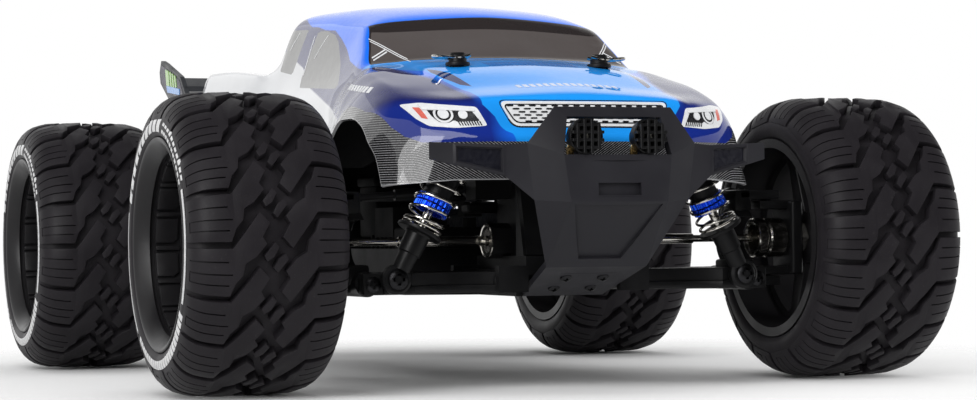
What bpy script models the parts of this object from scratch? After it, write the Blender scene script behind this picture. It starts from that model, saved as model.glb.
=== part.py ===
"""Radio-controlled monster truck of about 1/10 scale, as an assembly of separate pieces.

Lengths are in millimetres and angles in degrees; finished pieces are scaled to metres.
+Z is up, the front faces -Y and +X is the truck's left.  The origin is on the ground
under the middle of the truck.  A corner's own frame has x outwards from the truck's
middle plane, y outwards from the axle line towards the nearer end, and z from the ground.
"""
import math

import bmesh
import bpy
from mathutils import Matrix, Vector

MM = 0.001
GAP = 0.4
WELD = 0.0001
SMOOTH_ANGLE = 35

# Sides of round pieces
PIN_SIDES = 6
ROUND_SIDES = 8
TURN_STEPS = 8
RING_SIDES = 10
BAR_SIDES = 6
RIM_STEPS = 12

# Wheels and axles
TYRE_RADIUS = 60.0
AXLE_Z = TYRE_RADIUS
AXLE_Y = {"front": -147.0, "rear": 121.0}
WHEEL_X = {"front": 133.4, "rear": 136.8}
END_SIGN = {"front": -1, "rear": 1}
SIDE_SIGN = {"left": 1, "right": -1}

# Tyre section and tread
TREAD_PITCHES = 16
LUG_HEIGHT = 3.7
LUG_SHARE = 0.65
LUG_FOOT = 0.6
LUG_SKEW = 9.0
TREAD_INNER_X = 6.0
SHOULDER_X = 28.5
SIDEWALL_X = 32.5
BEAD_X = 29.6
TREAD_RADIUS = TYRE_RADIUS - LUG_HEIGHT
SHOULDER_RADIUS = 55.0
SIDEWALL_RADIUS = 49.5
BEAD_RADIUS = 41.5
CARCASS_RADIUS = 52.4

# Rim
RIM_SEAT_RADIUS = 40.4
RIM_WALL = 2.0
RIM_FLANGE_RADIUS = 42.2
RIM_HALF_WIDTH = 31.5
SPOKE_COUNT = 5
SPOKE_FACE_X = -10.4
HUB_FACE_X = -15.4
HUB_RADIUS = 11.0
AXLE_BORE = 3.0

# Suspension pivots in the corner frame
ARM_PIVOT = Vector((28.0, 0.0, 44.0))
ARM_PIN = Vector((84.0, 0.0, 43.3))
KINGPIN_X = 99.5
LINK_INNER = Vector((30.0, -9.5, 81.5))
LINK_OUTER = Vector((88.0, -9.5, 77.5))
SHOCK_TOP = Vector((42.0, 27.0, 108.5))
SHOCK_FOOT = Vector((75.7, 27.0, 45.3))
SHOCK_AXIS = (SHOCK_FOOT - SHOCK_TOP).normalized()
SHOCK_LENGTH = (SHOCK_FOOT - SHOCK_TOP).length
OUTDRIVE_X = 22.6

# Hinge and stud pins
PIN_RADIUS = 1.6
PIN_BORE = PIN_RADIUS + GAP
OPEN_BORE = PIN_RADIUS + 1.2
EYE_RADIUS = 4.0
EYE_WIDTH = 5.0

# Coil spring
SPRING_RADIUS = 8.35
SPRING_WIRE = 0.65
SPRING_TURNS = 6.5
SPRING_POINTS_PER_TURN = 8
SPRING_TOP = 14.4
SPRING_FOOT = 48.8

# Steering
TIE_Y = -21.0
TIE_INNER_X = 25.0
TIE_Z = 78.4
SAVER_PIVOT = Vector((-14.0, -92.0, 0.0))

# Drive train
SHAFT_Z = AXLE_Z
SPUR_TEETH = 18
PINION_TEETH = 8
GEAR_MODULE = 1.5
GEAR_Y = 8.0
GEAR_WIDTH = 6.0
PINION_X = -(SPUR_TEETH + PINION_TEETH) * GEAR_MODULE / 2

# Body shell
SHELL_THICKNESS = 1.2
POST_X = 32.0
POST_Y = -19.0
POST_RADIUS = 3.0
POST_HOLE = 4.2
POST_TOP = 138.4

# Half sections of the body shell, from its centre line out and down to its lower edge.
# A section's points lie on the same lines of the body from nose to tail: centre, hood ridge,
# roof edge, pillar, belt, haunch and lower edge.
BODY_SECTIONS = {
    "nose_edge": [(0, -193, 84), (37, -191, 84), (52, -187, 84), (61, -183.5, 83.5),
                  (69, -179, 83), (76, -174, 82.5), (80, -170, 82)],
    "nose_break": [(0, -195, 99), (37, -192.5, 99), (52, -187.5, 99), (61, -183, 99),
                   (69, -177, 99), (76, -170, 98), (80, -163.5, 93)],
    "grille_foot": [(0, -192.5, 104.5), (37, -189.5, 104.5), (52, -185.5, 105.5), (61, -180, 107),
                    (69, -173, 108), (76, -164, 107), (80.5, -155, 100)],
    "hood_lip": [(0, -187.5, 117), (37, -185.7, 115.7), (51, -180, 114.8), (61, -172.5, 115),
                 (69, -164.5, 115.5), (76, -155, 113.5), (80.5, -146, 107)],
    "hood_front": [(0, -166, 123.8), (37, -165, 121.8), (50, -162, 120.6), (60, -157, 121),
                   (68, -151, 121.5), (75.5, -143, 118), (80.5, -133, 110.5)],
    "hood_middle": [(0, -141, 131.6), (36, -140, 130), (49, -138, 127.6), (59, -135, 127.4),
                    (67, -131, 127), (74, -127, 122), (80.5, -120, 110.5)],
    "hood_rear": [(0, -117, 136.6), (36, -115.5, 135), (49, -113.5, 133), (59, -111.5, 132.8),
                  (66, -110, 130.6), (73, -107, 122), (80.5, -102, 102)],
    "screen_foot": [(0, -104, 138.2), (38, -101, 137.2), (50, -98.5, 136.2), (60, -96, 135),
                    (66, -93, 129), (72.5, -91, 119), (80, -88, 86)],
    "screen_middle": [(0, -90.5, 148.5), (36, -87.5, 147), (48, -85.5, 146), (56.5, -83.5, 144.6),
                      (64.8, -80, 130), (71.5, -78, 116), (79, -77, 74)],
    "screen_head": [(0, -77, 158.6), (35, -74.4, 156.8), (46, -72.4, 155.6), (53, -70.5, 153.8),
                    (64.2, -64, 131), (71, -62, 115), (78.5, -60, 72)],
    "roof_front": [(0, -58, 163.6), (35, -56, 161.8), (47, -54, 159.6), (54.5, -51, 155.4),
                   (64, -48, 131.5), (71, -46, 115), (78.5, -44, 71)],
    "roof_middle": [(0, -22, 167.2), (36, -21, 165.8), (49, -19, 163.4), (56.5, -17, 158.6),
                    (64, -15, 132.5), (71, -13, 116), (78.5, -10, 71)],
    "roof_rear": [(0, 18, 168), (37, 18, 167), (51, 17, 165), (58, 16, 160.4),
                  (63.5, 14, 135), (71, 14, 117), (78.5, 18, 71)],
    "back_window": [(0, 41, 153), (37, 40.5, 152.8), (51, 40, 152.4), (59.5, 38, 150),
                    (64, 38, 138.5), (71.5, 38, 119), (78.5, 42, 71)],
    "bed_front": [(0, 57, 133.5), (37, 57, 133.5), (53, 57, 134.5), (59, 57, 144.5),
                  (66, 57, 145), (72.5, 58, 122), (79, 60, 74)],
    "bed_step": [(0, 66, 132.5), (37, 66, 132.5), (54, 66, 132.8), (57.5, 66, 145.6),
                 (66.5, 67, 146), (73.5, 70, 124), (80.5, 74, 98)],
    "bed_middle": [(0, 96, 132.5), (37, 96, 132.5), (54, 96, 132.8), (57.5, 96, 145.8),
                   (67, 97, 146.2), (74, 100, 126), (80.5, 98, 110.5)],
    "bed_rear": [(0, 136, 132.5), (37, 136, 132.5), (54, 136, 132.8), (57.5, 136, 145.4),
                 (67, 137, 145.8), (73.5, 138, 126), (80.5, 128, 111)],
    "tailgate_foot": [(0, 150, 132.5), (37, 150, 132.5), (53, 150, 133), (57, 150, 144),
                      (66, 150.5, 143.5), (73, 151, 124), (80, 146, 106)],
    "tailgate_top": [(0, 153, 142), (37, 153, 142), (52, 153, 142), (57, 153, 142),
                     (65, 154, 140), (71.5, 156, 120), (79, 156, 96)],
    "tail_break": [(0, 160, 140.5), (37, 160, 140.4), (51, 160, 140), (57, 160, 138),
                   (63.5, 160.5, 132), (70, 161.5, 114), (77.5, 162, 90)],
    "tail_edge": [(0, 169, 98), (37, 168.8, 98), (51, 168.5, 97), (57, 168, 95),
                  (62, 167.5, 93), (68, 167, 90), (74, 166, 87)],
}

# Front bumper: corners of its bent plate on the left half
BUMPER_WALL = 2.8
BUMPER_POINTS = {
    "bar_top": (0, -214, 111.3), "bar_corner": (24.4, -214, 111.3),
    "bar_under": (0, -215.2, 107.3), "window_top": (19.6, -215.2, 107.3),
    "sill": (0, -220, 92.9), "window_foot": (22.2, -219, 92.9),
    "shoulder": (35, -213, 97.5), "root_top": (43, -210.5, 97), "root_foot": (43, -210.5, 84.8),
    "tip_top": (71.2, -202, 98.3), "tip_foot": (71.2, -202, 91.7),
    "fold": (0, -221, 75.2), "fold_corner": (20, -220, 75.2), "fold_side": (32, -212.5, 76),
    "chin": (0, -196.6, 50.6), "chin_corner": (21.5, -196.6, 50.6),
    "skid": (0, -161.6, 38.8), "skid_corner": (17.5, -161.6, 38.8),
}
BUMPER_FACES = [
    ("bar_top", "bar_corner", "window_top", "bar_under"),
    ("bar_corner", "shoulder", "window_foot", "window_top"),
    ("sill", "window_foot", "fold_corner", "fold"),
    ("window_foot", "shoulder", "fold_side", "fold_corner"),
    ("shoulder", "root_top", "root_foot", "fold_side"),
    ("root_top", "tip_top", "tip_foot", "root_foot"),
    ("fold", "fold_corner", "chin_corner", "chin"),
    ("fold_corner", "fold_side", "chin_corner"),
    ("chin", "chin_corner", "skid_corner", "skid"),
]
LAMP_X = 13.4
LAMP_Z = 100.0
LAMP_RADIUS = 7.0


def clear_scene():
    """Remove every object that the file starts with."""
    for leftover in list(bpy.data.objects):
        bpy.data.objects.remove(leftover, do_unlink=True)


def new_collection(name):
    """Add a collection to the scene."""
    collection = bpy.data.collections.new(name)
    bpy.context.scene.collection.children.link(collection)
    return collection


def new_material(name, colour, roughness, metallic=0.0):
    """A Principled BSDF of one colour."""
    material = bpy.data.materials.new(name)
    material.use_nodes = True
    shader = material.node_tree.nodes["Principled BSDF"]
    shader.inputs["Base Color"].default_value = (*colour, 1.0)
    shader.inputs["Roughness"].default_value = roughness
    shader.inputs["Metallic"].default_value = metallic
    return material


def loose(bm):
    """A working object from a bmesh, in millimetres."""
    mesh = bpy.data.meshes.new("working")
    bm.to_mesh(mesh)
    bm.free()
    shape = bpy.data.objects.new("working", mesh)
    WORKING.objects.link(shape)
    return shape


def discard(*shapes):
    """Delete working objects."""
    for shape in shapes:
        bpy.data.objects.remove(shape, do_unlink=True)


def settled(shape):
    """Replace a working object by its evaluated mesh, welded and with its faces out."""
    bpy.context.view_layer.update()
    depsgraph = bpy.context.evaluated_depsgraph_get()
    bm = bmesh.new()
    bm.from_mesh(bpy.data.meshes.new_from_object(shape.evaluated_get(depsgraph)))
    bmesh.ops.remove_doubles(bm, verts=bm.verts, dist=WELD)
    bmesh.ops.recalc_face_normals(bm, faces=bm.faces)
    discard(shape)
    return loose(bm)


def box(low, high, bevel=0.0):
    """A box between two corners, with its edges bevelled."""
    low, high = Vector(low), Vector(high)
    bm = bmesh.new()
    matrix = Matrix.Translation((low + high) / 2) @ Matrix.Diagonal((*(high - low), 1.0))
    bmesh.ops.create_cube(bm, size=1.0, matrix=matrix)
    if bevel:
        bmesh.ops.bevel(bm, geom=bm.edges[:], offset=bevel, segments=1, affect="EDGES", profile=0.5)
    return loose(bm)


def turn_matrix(start, direction):
    """The matrix that takes +Z to a direction and the origin to a point."""
    return Matrix.Translation(start) @ Vector(direction).to_track_quat("Z", "Y").to_matrix().to_4x4()


def rod(start, end, radius, sides=ROUND_SIDES):
    """A cylinder between two points."""
    start, end = Vector(start), Vector(end)
    bm = bmesh.new()
    bmesh.ops.create_cone(bm, cap_ends=True, segments=sides, radius1=radius, radius2=radius,
                          depth=(end - start).length, matrix=turn_matrix((start + end) / 2, end - start))
    return loose(bm)


def turned(profile, start, direction, steps=TURN_STEPS, closed=False):
    """Turn a profile of (distance, radius) points about a line."""
    bm = bmesh.new()
    points = [bm.verts.new((radius, 0.0, distance)) for distance, radius in profile]
    pairs = list(zip(points, points[1:]))
    if closed:
        pairs.append((points[-1], points[0]))
    for pair in pairs:
        bm.edges.new(pair)
    shape = loose(bm)
    screw = shape.modifiers.new("Turn", "SCREW")
    screw.steps = steps
    screw.render_steps = steps
    screw.use_merge_vertices = True
    screw.merge_threshold = WELD
    shape = settled(shape)
    shape.data.transform(turn_matrix(Vector(start), direction))
    return shape


def plate(outline, low, high, across="Z"):
    """Extrude a flat outline between two heights along an axis, in the other two axes' plane."""
    curve = bpy.data.curves.new("outline", "CURVE")
    curve.dimensions = "2D"
    curve.fill_mode = "BOTH"
    curve.extrude = (high - low) / 2
    spline = curve.splines.new("POLY")
    spline.points.add(len(outline) - 1)
    spline.use_cyclic_u = True
    for point, (first, second) in zip(spline.points, outline):
        point.co = (first, second, 0.0, 1.0)
    shape = bpy.data.objects.new("outline", curve)
    WORKING.objects.link(shape)
    shape = settled(shape)
    middle = (low + high) / 2
    if across == "Z":
        shape.data.transform(Matrix.Translation((0, 0, middle)))
    elif across == "Y":
        shape.data.transform(Matrix.Translation((0, middle, 0)) @ Matrix.Rotation(math.pi / 2, 4, "X"))
    else:
        standing = Matrix.Rotation(math.pi / 2, 4, "Z") @ Matrix.Rotation(math.pi / 2, 4, "X")
        shape.data.transform(Matrix.Translation((middle, 0, 0)) @ standing)
    return shape


def fuse(base, adds=(), cuts=()):
    """Join shapes to a base and cut others out of it."""
    for tool in adds:
        union = base.modifiers.new("Join", "BOOLEAN")
        union.operation = "UNION"
        union.object = tool
    for tool in cuts:
        cut = base.modifiers.new("Cut", "BOOLEAN")
        cut.operation = "DIFFERENCE"
        cut.object = tool
    result = settled(base)
    discard(*adds, *cuts)
    return result


def mirrored(outline):
    """A closed outline from its right half, listed from bottom to top."""
    return outline + [(-first, second) for first, second in reversed(outline) if first > 0]


def place(name, shape, pivot, material, parent, side=1, end=1):
    """Finish a shape as a named part with its origin on its pivot."""
    mesh = shape.data.copy()
    mesh.name = name
    mesh.transform(Matrix.Translation(-Vector(pivot)))
    mesh.transform(Matrix.Diagonal((side * MM, end * MM, MM, 1.0)))
    if side * end < 0:
        mesh.flip_normals()
    mesh.shade_smooth()
    mesh.set_sharp_from_angle(angle=math.radians(SMOOTH_ANGLE))
    mesh.materials.clear()
    mesh.materials.append(material)
    part = bpy.data.objects.new(name, mesh)
    part.parent = parent
    part.location = Vector((side * pivot[0], end * pivot[1], pivot[2])) * MM
    PARTS.objects.link(part)
    return part


def empty(name, location, parent=None):
    """An empty that carries an assembly."""
    carrier = bpy.data.objects.new(name, None)
    carrier.location = Vector(location) * MM
    carrier.parent = parent
    PARTS.objects.link(carrier)
    return carrier


def tyre_profile():
    """The closed section of the tyre, (x, radius), from the outer bead over the tread."""
    half = [(BEAD_X, BEAD_RADIUS), (SIDEWALL_X, SIDEWALL_RADIUS), (SHOULDER_X, SHOULDER_RADIUS),
            (TREAD_INNER_X, TREAD_RADIUS)]
    outside = half + [(-x, radius) for x, radius in reversed(half)]
    toe, crown = BEAD_X - 6.0, SHOULDER_X - 4.5
    inside = [(-toe, BEAD_RADIUS), (-crown, CARCASS_RADIUS), (crown, CARCASS_RADIUS), (toe, BEAD_RADIUS)]
    return outside + inside


def tread_angle(angle, x):
    """Spread the lug columns and slant them from the shoulders to the tread's middle."""
    step = 180.0 / TREAD_PITCHES
    column = round(angle / step)
    stretch = (LUG_SHARE - 0.5) * step
    widen = stretch if column % 2 else -stretch
    if x < 0:
        widen = -widen
    slant = LUG_SKEW * (1.0 - min(abs(x), SHOULDER_X) / SHOULDER_X)
    return angle + widen + slant


def polar(co):
    """Radius and angle in degrees of a point about the x axis."""
    return math.hypot(co.y, co.z), math.degrees(math.atan2(co.z, co.y)) % 360.0


def set_polar(vert, radius, angle):
    """Move a vertex to a radius and an angle in degrees about the x axis."""
    vert.co.y = radius * math.cos(math.radians(angle))
    vert.co.z = radius * math.sin(math.radians(angle))


def tyre_shape():
    """A hollow tyre with shoulder lugs that point to the middle, half a pitch apart on each side."""
    bm = bmesh.new()
    points = [bm.verts.new((x, radius, 0.0)) for x, radius in tyre_profile()]
    edges = [bm.edges.new(pair) for pair in zip(points, points[1:] + points[:1])]
    columns = 2 * TREAD_PITCHES
    step = 360.0 / columns
    bmesh.ops.spin(bm, geom=points + edges, cent=(0, 0, 0), axis=(1, 0, 0), angle=math.tau,
                   steps=columns, use_merge=True, use_duplicate=False)
    bmesh.ops.remove_doubles(bm, verts=bm.verts, dist=WELD)
    lug_floor = (SHOULDER_RADIUS + SIDEWALL_RADIUS) / 2 - 1.0
    lugs = []
    for face in bm.faces:
        centre = face.calc_center_median()
        radius, angle = polar(centre)
        if radius > lug_floor and abs(centre.x) > TREAD_INNER_X:
            if (int(angle / step) % 2 == 0) == (centre.x > 0):
                lugs.append(face)
    spare = set()
    for vert in bm.verts:
        radius, angle = polar(vert.co)
        if radius < CARCASS_RADIUS + WELD and abs(vert.co.x) < BEAD_X + WELD:
            if round(angle / step) % 2:
                spare.add(vert)
        else:
            set_polar(vert, radius, tread_angle(angle, vert.co.x))
    spare_edges = [edge for edge in bm.edges if all(vert in spare for vert in edge.verts)]
    bmesh.ops.dissolve_edges(bm, edges=spare_edges, use_verts=True)
    raised = bmesh.ops.extrude_face_region(bm, geom=lugs)["geom"]
    bmesh.ops.delete(bm, geom=[face for face in lugs if face.is_valid], context="FACES")
    for vert in [item for item in raised if isinstance(item, bmesh.types.BMVert)]:
        radius, angle = polar(vert.co)
        rise = LUG_HEIGHT if radius > SIDEWALL_RADIUS + 1.0 else LUG_FOOT
        set_polar(vert, radius + rise, angle)
    tips = [vert.co for vert in bm.verts if polar(vert.co)[0] > TYRE_RADIUS - 10 * WELD]
    lowest = min(tips, key=lambda co: co.z)
    level = -math.pi / 2 - math.atan2(lowest.z, lowest.y)
    bmesh.ops.rotate(bm, verts=bm.verts, cent=(0, 0, 0), matrix=Matrix.Rotation(level, 3, "X"))
    bmesh.ops.recalc_face_normals(bm, faces=bm.faces)
    return loose(bm)


def rim_shape():
    """A deep-dish rim: turned barrel with bead flanges, and a spoked disc near its inner side."""
    seat = RIM_SEAT_RADIUS
    inside = RIM_SEAT_RADIUS - RIM_WALL
    seat_x = BEAD_X + 2 * GAP
    section = [(RIM_HALF_WIDTH, RIM_FLANGE_RADIUS), (seat_x, RIM_FLANGE_RADIUS), (seat_x, seat),
               (-seat_x, seat), (-seat_x, RIM_FLANGE_RADIUS), (-RIM_HALF_WIDTH, RIM_FLANGE_RADIUS),
               (-RIM_HALF_WIDTH, inside), (HUB_FACE_X, inside), (HUB_FACE_X, AXLE_BORE),
               (SPOKE_FACE_X, AXLE_BORE), (SPOKE_FACE_X, inside), (RIM_HALF_WIDTH, inside + 1.0)]
    barrel = turned(section, (0, 0, 0), (1, 0, 0), RIM_STEPS, closed=True)
    windows = []
    half_angle = math.radians(180.0 / SPOKE_COUNT)
    spoke_half = 3.6
    for index in range(SPOKE_COUNT):
        outline = []
        for radius, sign in ((HUB_RADIUS, -1), (inside - 3.0, -1), (inside - 3.0, 1), (HUB_RADIUS, 1)):
            angle = half_angle * (2 * index + 1) + sign * (half_angle - spoke_half / radius)
            outline.append((radius * math.cos(angle), radius * math.sin(angle)))
        windows.append(plate(outline, HUB_FACE_X - 2.0, SPOKE_FACE_X + 2.0, across="X"))
    return fuse(barrel, cuts=windows)


def stub_axle_shape(wheel_x):
    """A drive cup, its shank, the wheel hex and the threaded end, along x."""
    cup_mouth, cup_floor, cup_back = 93.5, 106.6, 107.6
    cup_radius, cup_bore, shank, thread = 8.35, 5.9, 2.9, 2.4
    hex_end = wheel_x + HUB_FACE_X - GAP
    hex_start = hex_end - 3.6
    profile = [(cup_floor, 0.0), (cup_floor, cup_bore), (cup_mouth, cup_bore), (cup_mouth, cup_radius),
               (cup_back, cup_radius), (cup_back, shank), (hex_end + 1.0, shank),
               (hex_end + 1.0, thread), (hex_end + 11.0, thread), (hex_end + 11.0, 0.0)]
    axle = turned(profile, (0, 0, AXLE_Z), (1, 0, 0))
    wheel_hex = rod((hex_start, 0, AXLE_Z), (hex_end, 0, AXLE_Z), 6.9, 6)
    return fuse(axle, adds=[wheel_hex])


def lower_arm_shape():
    """A-arm: inner barrel, webbed plate with two windows, forked outer ears and the shock stud."""
    half_y, fork_y, low, high = 24.0, 17.5, 39.2, 47.8
    outline = [(30.0, -22.0), (44.0, -13.5), (64.0, -14.0), (76.0, -half_y), (88.0, -half_y),
               (88.0, half_y), (68.0, half_y), (58.0, 17.0), (44.0, 16.0), (30.0, 22.0)]
    web = plate(outline, low, high)
    barrel = rod(ARM_PIVOT + Vector((0, -24, 0)), ARM_PIVOT + Vector((0, 24, 0)), 4.6)
    stud_boss = rod(SHOCK_FOOT - Vector((0, 6, 0)), SHOCK_FOOT - Vector((0, 3, 0)), 4.2)
    stud = rod(SHOCK_FOOT - Vector((0, 5, 0)), SHOCK_FOOT + Vector((0, 4.4, 0)), PIN_RADIUS, PIN_SIDES)
    pin_half = Vector((0, half_y - 1, 0))
    outer_pin = rod(ARM_PIN - pin_half, ARM_PIN + pin_half, PIN_RADIUS, PIN_SIDES)
    fork = box((76.5, -fork_y, low - 5), (92.0, fork_y, high + 5))
    bore = rod(ARM_PIVOT + Vector((0, -30, 0)), ARM_PIVOT + Vector((0, 30, 0)), PIN_BORE, PIN_SIDES)
    windows = []
    for sign in (-1, 1):
        opening = [(38, sign * 3), (66, sign * 3), (66, sign * 9.5), (38, sign * 10.5)]
        windows.append(plate(opening, low - 4, high + 4))
    arm = fuse(web, adds=[barrel, stud_boss], cuts=[fork, bore, *windows])
    return fuse(arm, adds=[stud, outer_pin])


def link_pin(start):
    """A stud for an upper link's eye, from a lug towards the truck's middle."""
    start = Vector(start)
    tip = start - Vector((0, EYE_WIDTH / 2 + 2 * GAP, 0))
    return rod(start + Vector((0, 4.5, 0)), tip, PIN_RADIUS, PIN_SIDES)


def upright_parts():
    """Lower eye, shaft ring and upper block that front and rear uprights share."""
    eye = rod(ARM_PIN - Vector((0, 17, 0)), ARM_PIN + Vector((0, 17, 0)), 5.0)
    ring = rod((82.5, 0, AXLE_Z), (90.0, 0, AXLE_Z), 13.0)
    foot = box((81.0, -10.5, 40.0), (90.0, 10.5, 52.0))
    head = box((83.0, -6.0, 68.0), (91.0, 6.0, 80.4))
    return eye, [ring, foot, head]


def upright_cuts():
    """Bore for the arm's outer pin and the window that the half shaft passes through."""
    pin_bore = rod(ARM_PIN - Vector((0, 20, 0)), ARM_PIN + Vector((0, 20, 0)), PIN_BORE, PIN_SIDES)
    window = rod((80.0, 0, AXLE_Z), (92.0, 0, AXLE_Z), 9.5)
    return [pin_bore, window]


def caster_block_shape():
    """Front upright: a C with kingpins above and below the steering knuckle."""
    eye, blocks = upright_parts()
    lugs = [box((85.0, -6.0, 39.8), (104.5, 6.0, 43.8)), box((85.0, -6.0, 76.2), (104.5, 6.0, 80.2))]
    pins = [rod((KINGPIN_X, 0, 41.0), (KINGPIN_X, 0, 47.2), PIN_RADIUS, PIN_SIDES),
            rod((KINGPIN_X, 0, 72.8), (KINGPIN_X, 0, 79.0), PIN_RADIUS, PIN_SIDES),
            link_pin(LINK_OUTER)]
    block = fuse(eye, adds=[*blocks, *lugs], cuts=upright_cuts())
    return fuse(block, adds=pins)


def knuckle_shape():
    """Steering knuckle: bearing plate, two kingpin arms and the steering arm with its stud."""
    bearing = box((108.0, -9.5, 44.3), (113.4, 9.5, 75.7), 1.0)
    low_y = TIE_Y - 4.0
    steering_arm = [(97.2, low_y), (101.8, low_y), (103.4, -13.0), (103.4, -3.0), (98.9, -3.0),
                    (98.9, -13.0)]
    arms = [box((95.0, -5.2, 44.2), (110.0, 5.2, 47.9)), box((95.0, -5.2, 72.1), (110.0, 5.2, 75.8)),
            plate(steering_arm, 72.1, 75.8)]
    bores = [rod((KINGPIN_X, 0, 40.0), (KINGPIN_X, 0, 50.0), PIN_BORE, PIN_SIDES),
             rod((KINGPIN_X, 0, 70.0), (KINGPIN_X, 0, 80.0), PIN_BORE, PIN_SIDES),
             rod((104.0, 0, AXLE_Z), (118.0, 0, AXLE_Z), 3.4)]
    stud = rod((KINGPIN_X, TIE_Y, 74.0), (KINGPIN_X, TIE_Y, TIE_Z + 3.0), PIN_RADIUS, PIN_SIDES)
    return fuse(fuse(bearing, adds=arms, cuts=bores), adds=[stud])


def hub_carrier_shape():
    """Rear upright: the shaft ring and a bearing plate joined by two beams."""
    eye, blocks = upright_parts()
    frame = [box((108.0, -9.5, 42.0), (114.0, 9.5, 78.0)), box((85.0, -6.0, 42.0), (111.0, 6.0, 47.0)),
             box((85.0, -6.0, 73.0), (111.0, 6.0, 78.0))]
    bearing_bore = rod((104.0, 0, AXLE_Z), (118.0, 0, AXLE_Z), 3.4)
    carrier = fuse(eye, adds=[*blocks, *frame], cuts=[*upright_cuts(), bearing_bore])
    return fuse(carrier, adds=[link_pin(LINK_OUTER)])


def half_shaft_shape():
    """Dog-bone drive shaft with a ball at each end, along x."""
    ball, shoulder, neck, middle = 2.6, 2.1, 1.4, 2.1
    inner, outer = OUTDRIVE_X, KINGPIN_X
    profile = [(inner - ball, 0.0), (inner - 1.6, shoulder), (inner + 1.0, ball), (inner + 3.0, neck),
               (inner + 11.0, middle), (outer - 13.0, middle), (outer - 3.0, neck), (outer - 1.0, ball),
               (outer + 1.6, shoulder), (outer + ball, 0.0)]
    return turned(profile, (0, 0, AXLE_Z), (1, 0, 0), BAR_SIDES)


def upper_link_shape():
    """Turnbuckle link with an eye at each end; the outer bore leaves room for the open pivot."""
    span = (LINK_OUTER - LINK_INNER).normalized()
    bar = rod(LINK_INNER + span * 3.0, LINK_OUTER - span * 3.0, 2.1, BAR_SIDES)
    half = Vector((0, EYE_WIDTH / 2, 0))
    eyes = [rod(centre - half, centre + half, EYE_RADIUS) for centre in (LINK_INNER, LINK_OUTER)]
    bores = [rod(LINK_INNER - half * 2, LINK_INNER + half * 2, PIN_BORE, PIN_SIDES),
             rod(LINK_OUTER - half * 2, LINK_OUTER + half * 2, OPEN_BORE, PIN_SIDES)]
    return fuse(bar, adds=eyes, cuts=bores)


def shock_body_shape():
    """Shock cylinder with its top eye, cap, spring flange, preload neck and the rod's bore."""
    cap, flange, barrel, groove, bore = 7.0, 8.9, 6.9, 5.9, 2.1
    profile = [(3.0, 0.0), (3.0, 4.6), (5.5, cap), (10.5, cap), (10.5, flange), (13.4, flange),
               (13.4, groove), (20.0, groove)]
    profile += [(20.0, barrel), (38.0, barrel), (40.0, groove), (40.0, bore), (16.0, bore), (16.0, 0.0)]
    cylinder = turned(profile, SHOCK_TOP, SHOCK_AXIS)
    half = Vector((0, EYE_WIDTH / 2, 0))
    eye = rod(SHOCK_TOP - half, SHOCK_TOP + half, 4.8)
    pin_bore = rod(SHOCK_TOP - half * 3, SHOCK_TOP + half * 3, PIN_BORE, PIN_SIDES)
    return fuse(cylinder, adds=[eye], cuts=[pin_bore])


def shock_rod_shape():
    """Shock rod with the spring perch and the lower eye."""
    rod_radius, perch, boss = 1.5, 9.4, 4.2
    profile = [(27.0, 0.0), (27.0, rod_radius), (49.6, rod_radius), (49.6, perch), (51.8, perch),
               (53.6, boss), (SHOCK_LENGTH - 4.0, EYE_WIDTH / 2 - 0.1), (SHOCK_LENGTH - 4.0, 0.0)]
    stem = turned(profile, SHOCK_TOP, SHOCK_AXIS)
    half = Vector((0, EYE_WIDTH / 2, 0))
    eye = rod(SHOCK_FOOT - half, SHOCK_FOOT + half, 6.0)
    pin_bore = rod(SHOCK_FOOT - half * 3, SHOCK_FOOT + half * 3, OPEN_BORE)
    return fuse(stem, adds=[eye], cuts=[pin_bore])


def spring_points():
    """The helix of a shock spring about its axis, from the flange to the perch, from the shock's top."""
    frame = turn_matrix(Vector((0, 0, 0)), SHOCK_AXIS)
    count = int(SPRING_TURNS * SPRING_POINTS_PER_TURN) + 1
    points = []
    for index in range(count):
        share = index / (count - 1)
        angle = math.tau * SPRING_TURNS * share
        height = SPRING_TOP + (SPRING_FOOT - SPRING_TOP) * share
        across = SPRING_RADIUS * Vector((math.cos(angle), math.sin(angle)))
        points.append(frame @ Vector((across.x, across.y, height)))
    return points


def spring_gap(points):
    """The least gap between neighbouring turns of a helix."""
    least = math.inf
    for index, point in enumerate(points):
        for other in points[index + SPRING_POINTS_PER_TURN // 2:]:
            least = min(least, (point - other).length)
    return least - 2 * SPRING_WIRE


def add_spring(name, points, material, parent, side, end):
    """A coil spring as one bevelled curve, placed at the shock's top."""
    curve = bpy.data.curves.new(name, "CURVE")
    curve.dimensions = "3D"
    curve.bevel_depth = SPRING_WIRE * MM
    curve.bevel_resolution = 1
    curve.use_fill_caps = True
    spline = curve.splines.new("POLY")
    spline.points.add(len(points) - 1)
    for target, point in zip(spline.points, points):
        target.co = (side * point.x * MM, end * point.y * MM, point.z * MM, 1.0)
    curve.materials.append(material)
    part = bpy.data.objects.new(name, curve)
    part.parent = parent
    part.location = Vector((side * SHOCK_TOP.x, end * SHOCK_TOP.y, SHOCK_TOP.z)) * MM
    PARTS.objects.link(part)


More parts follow.
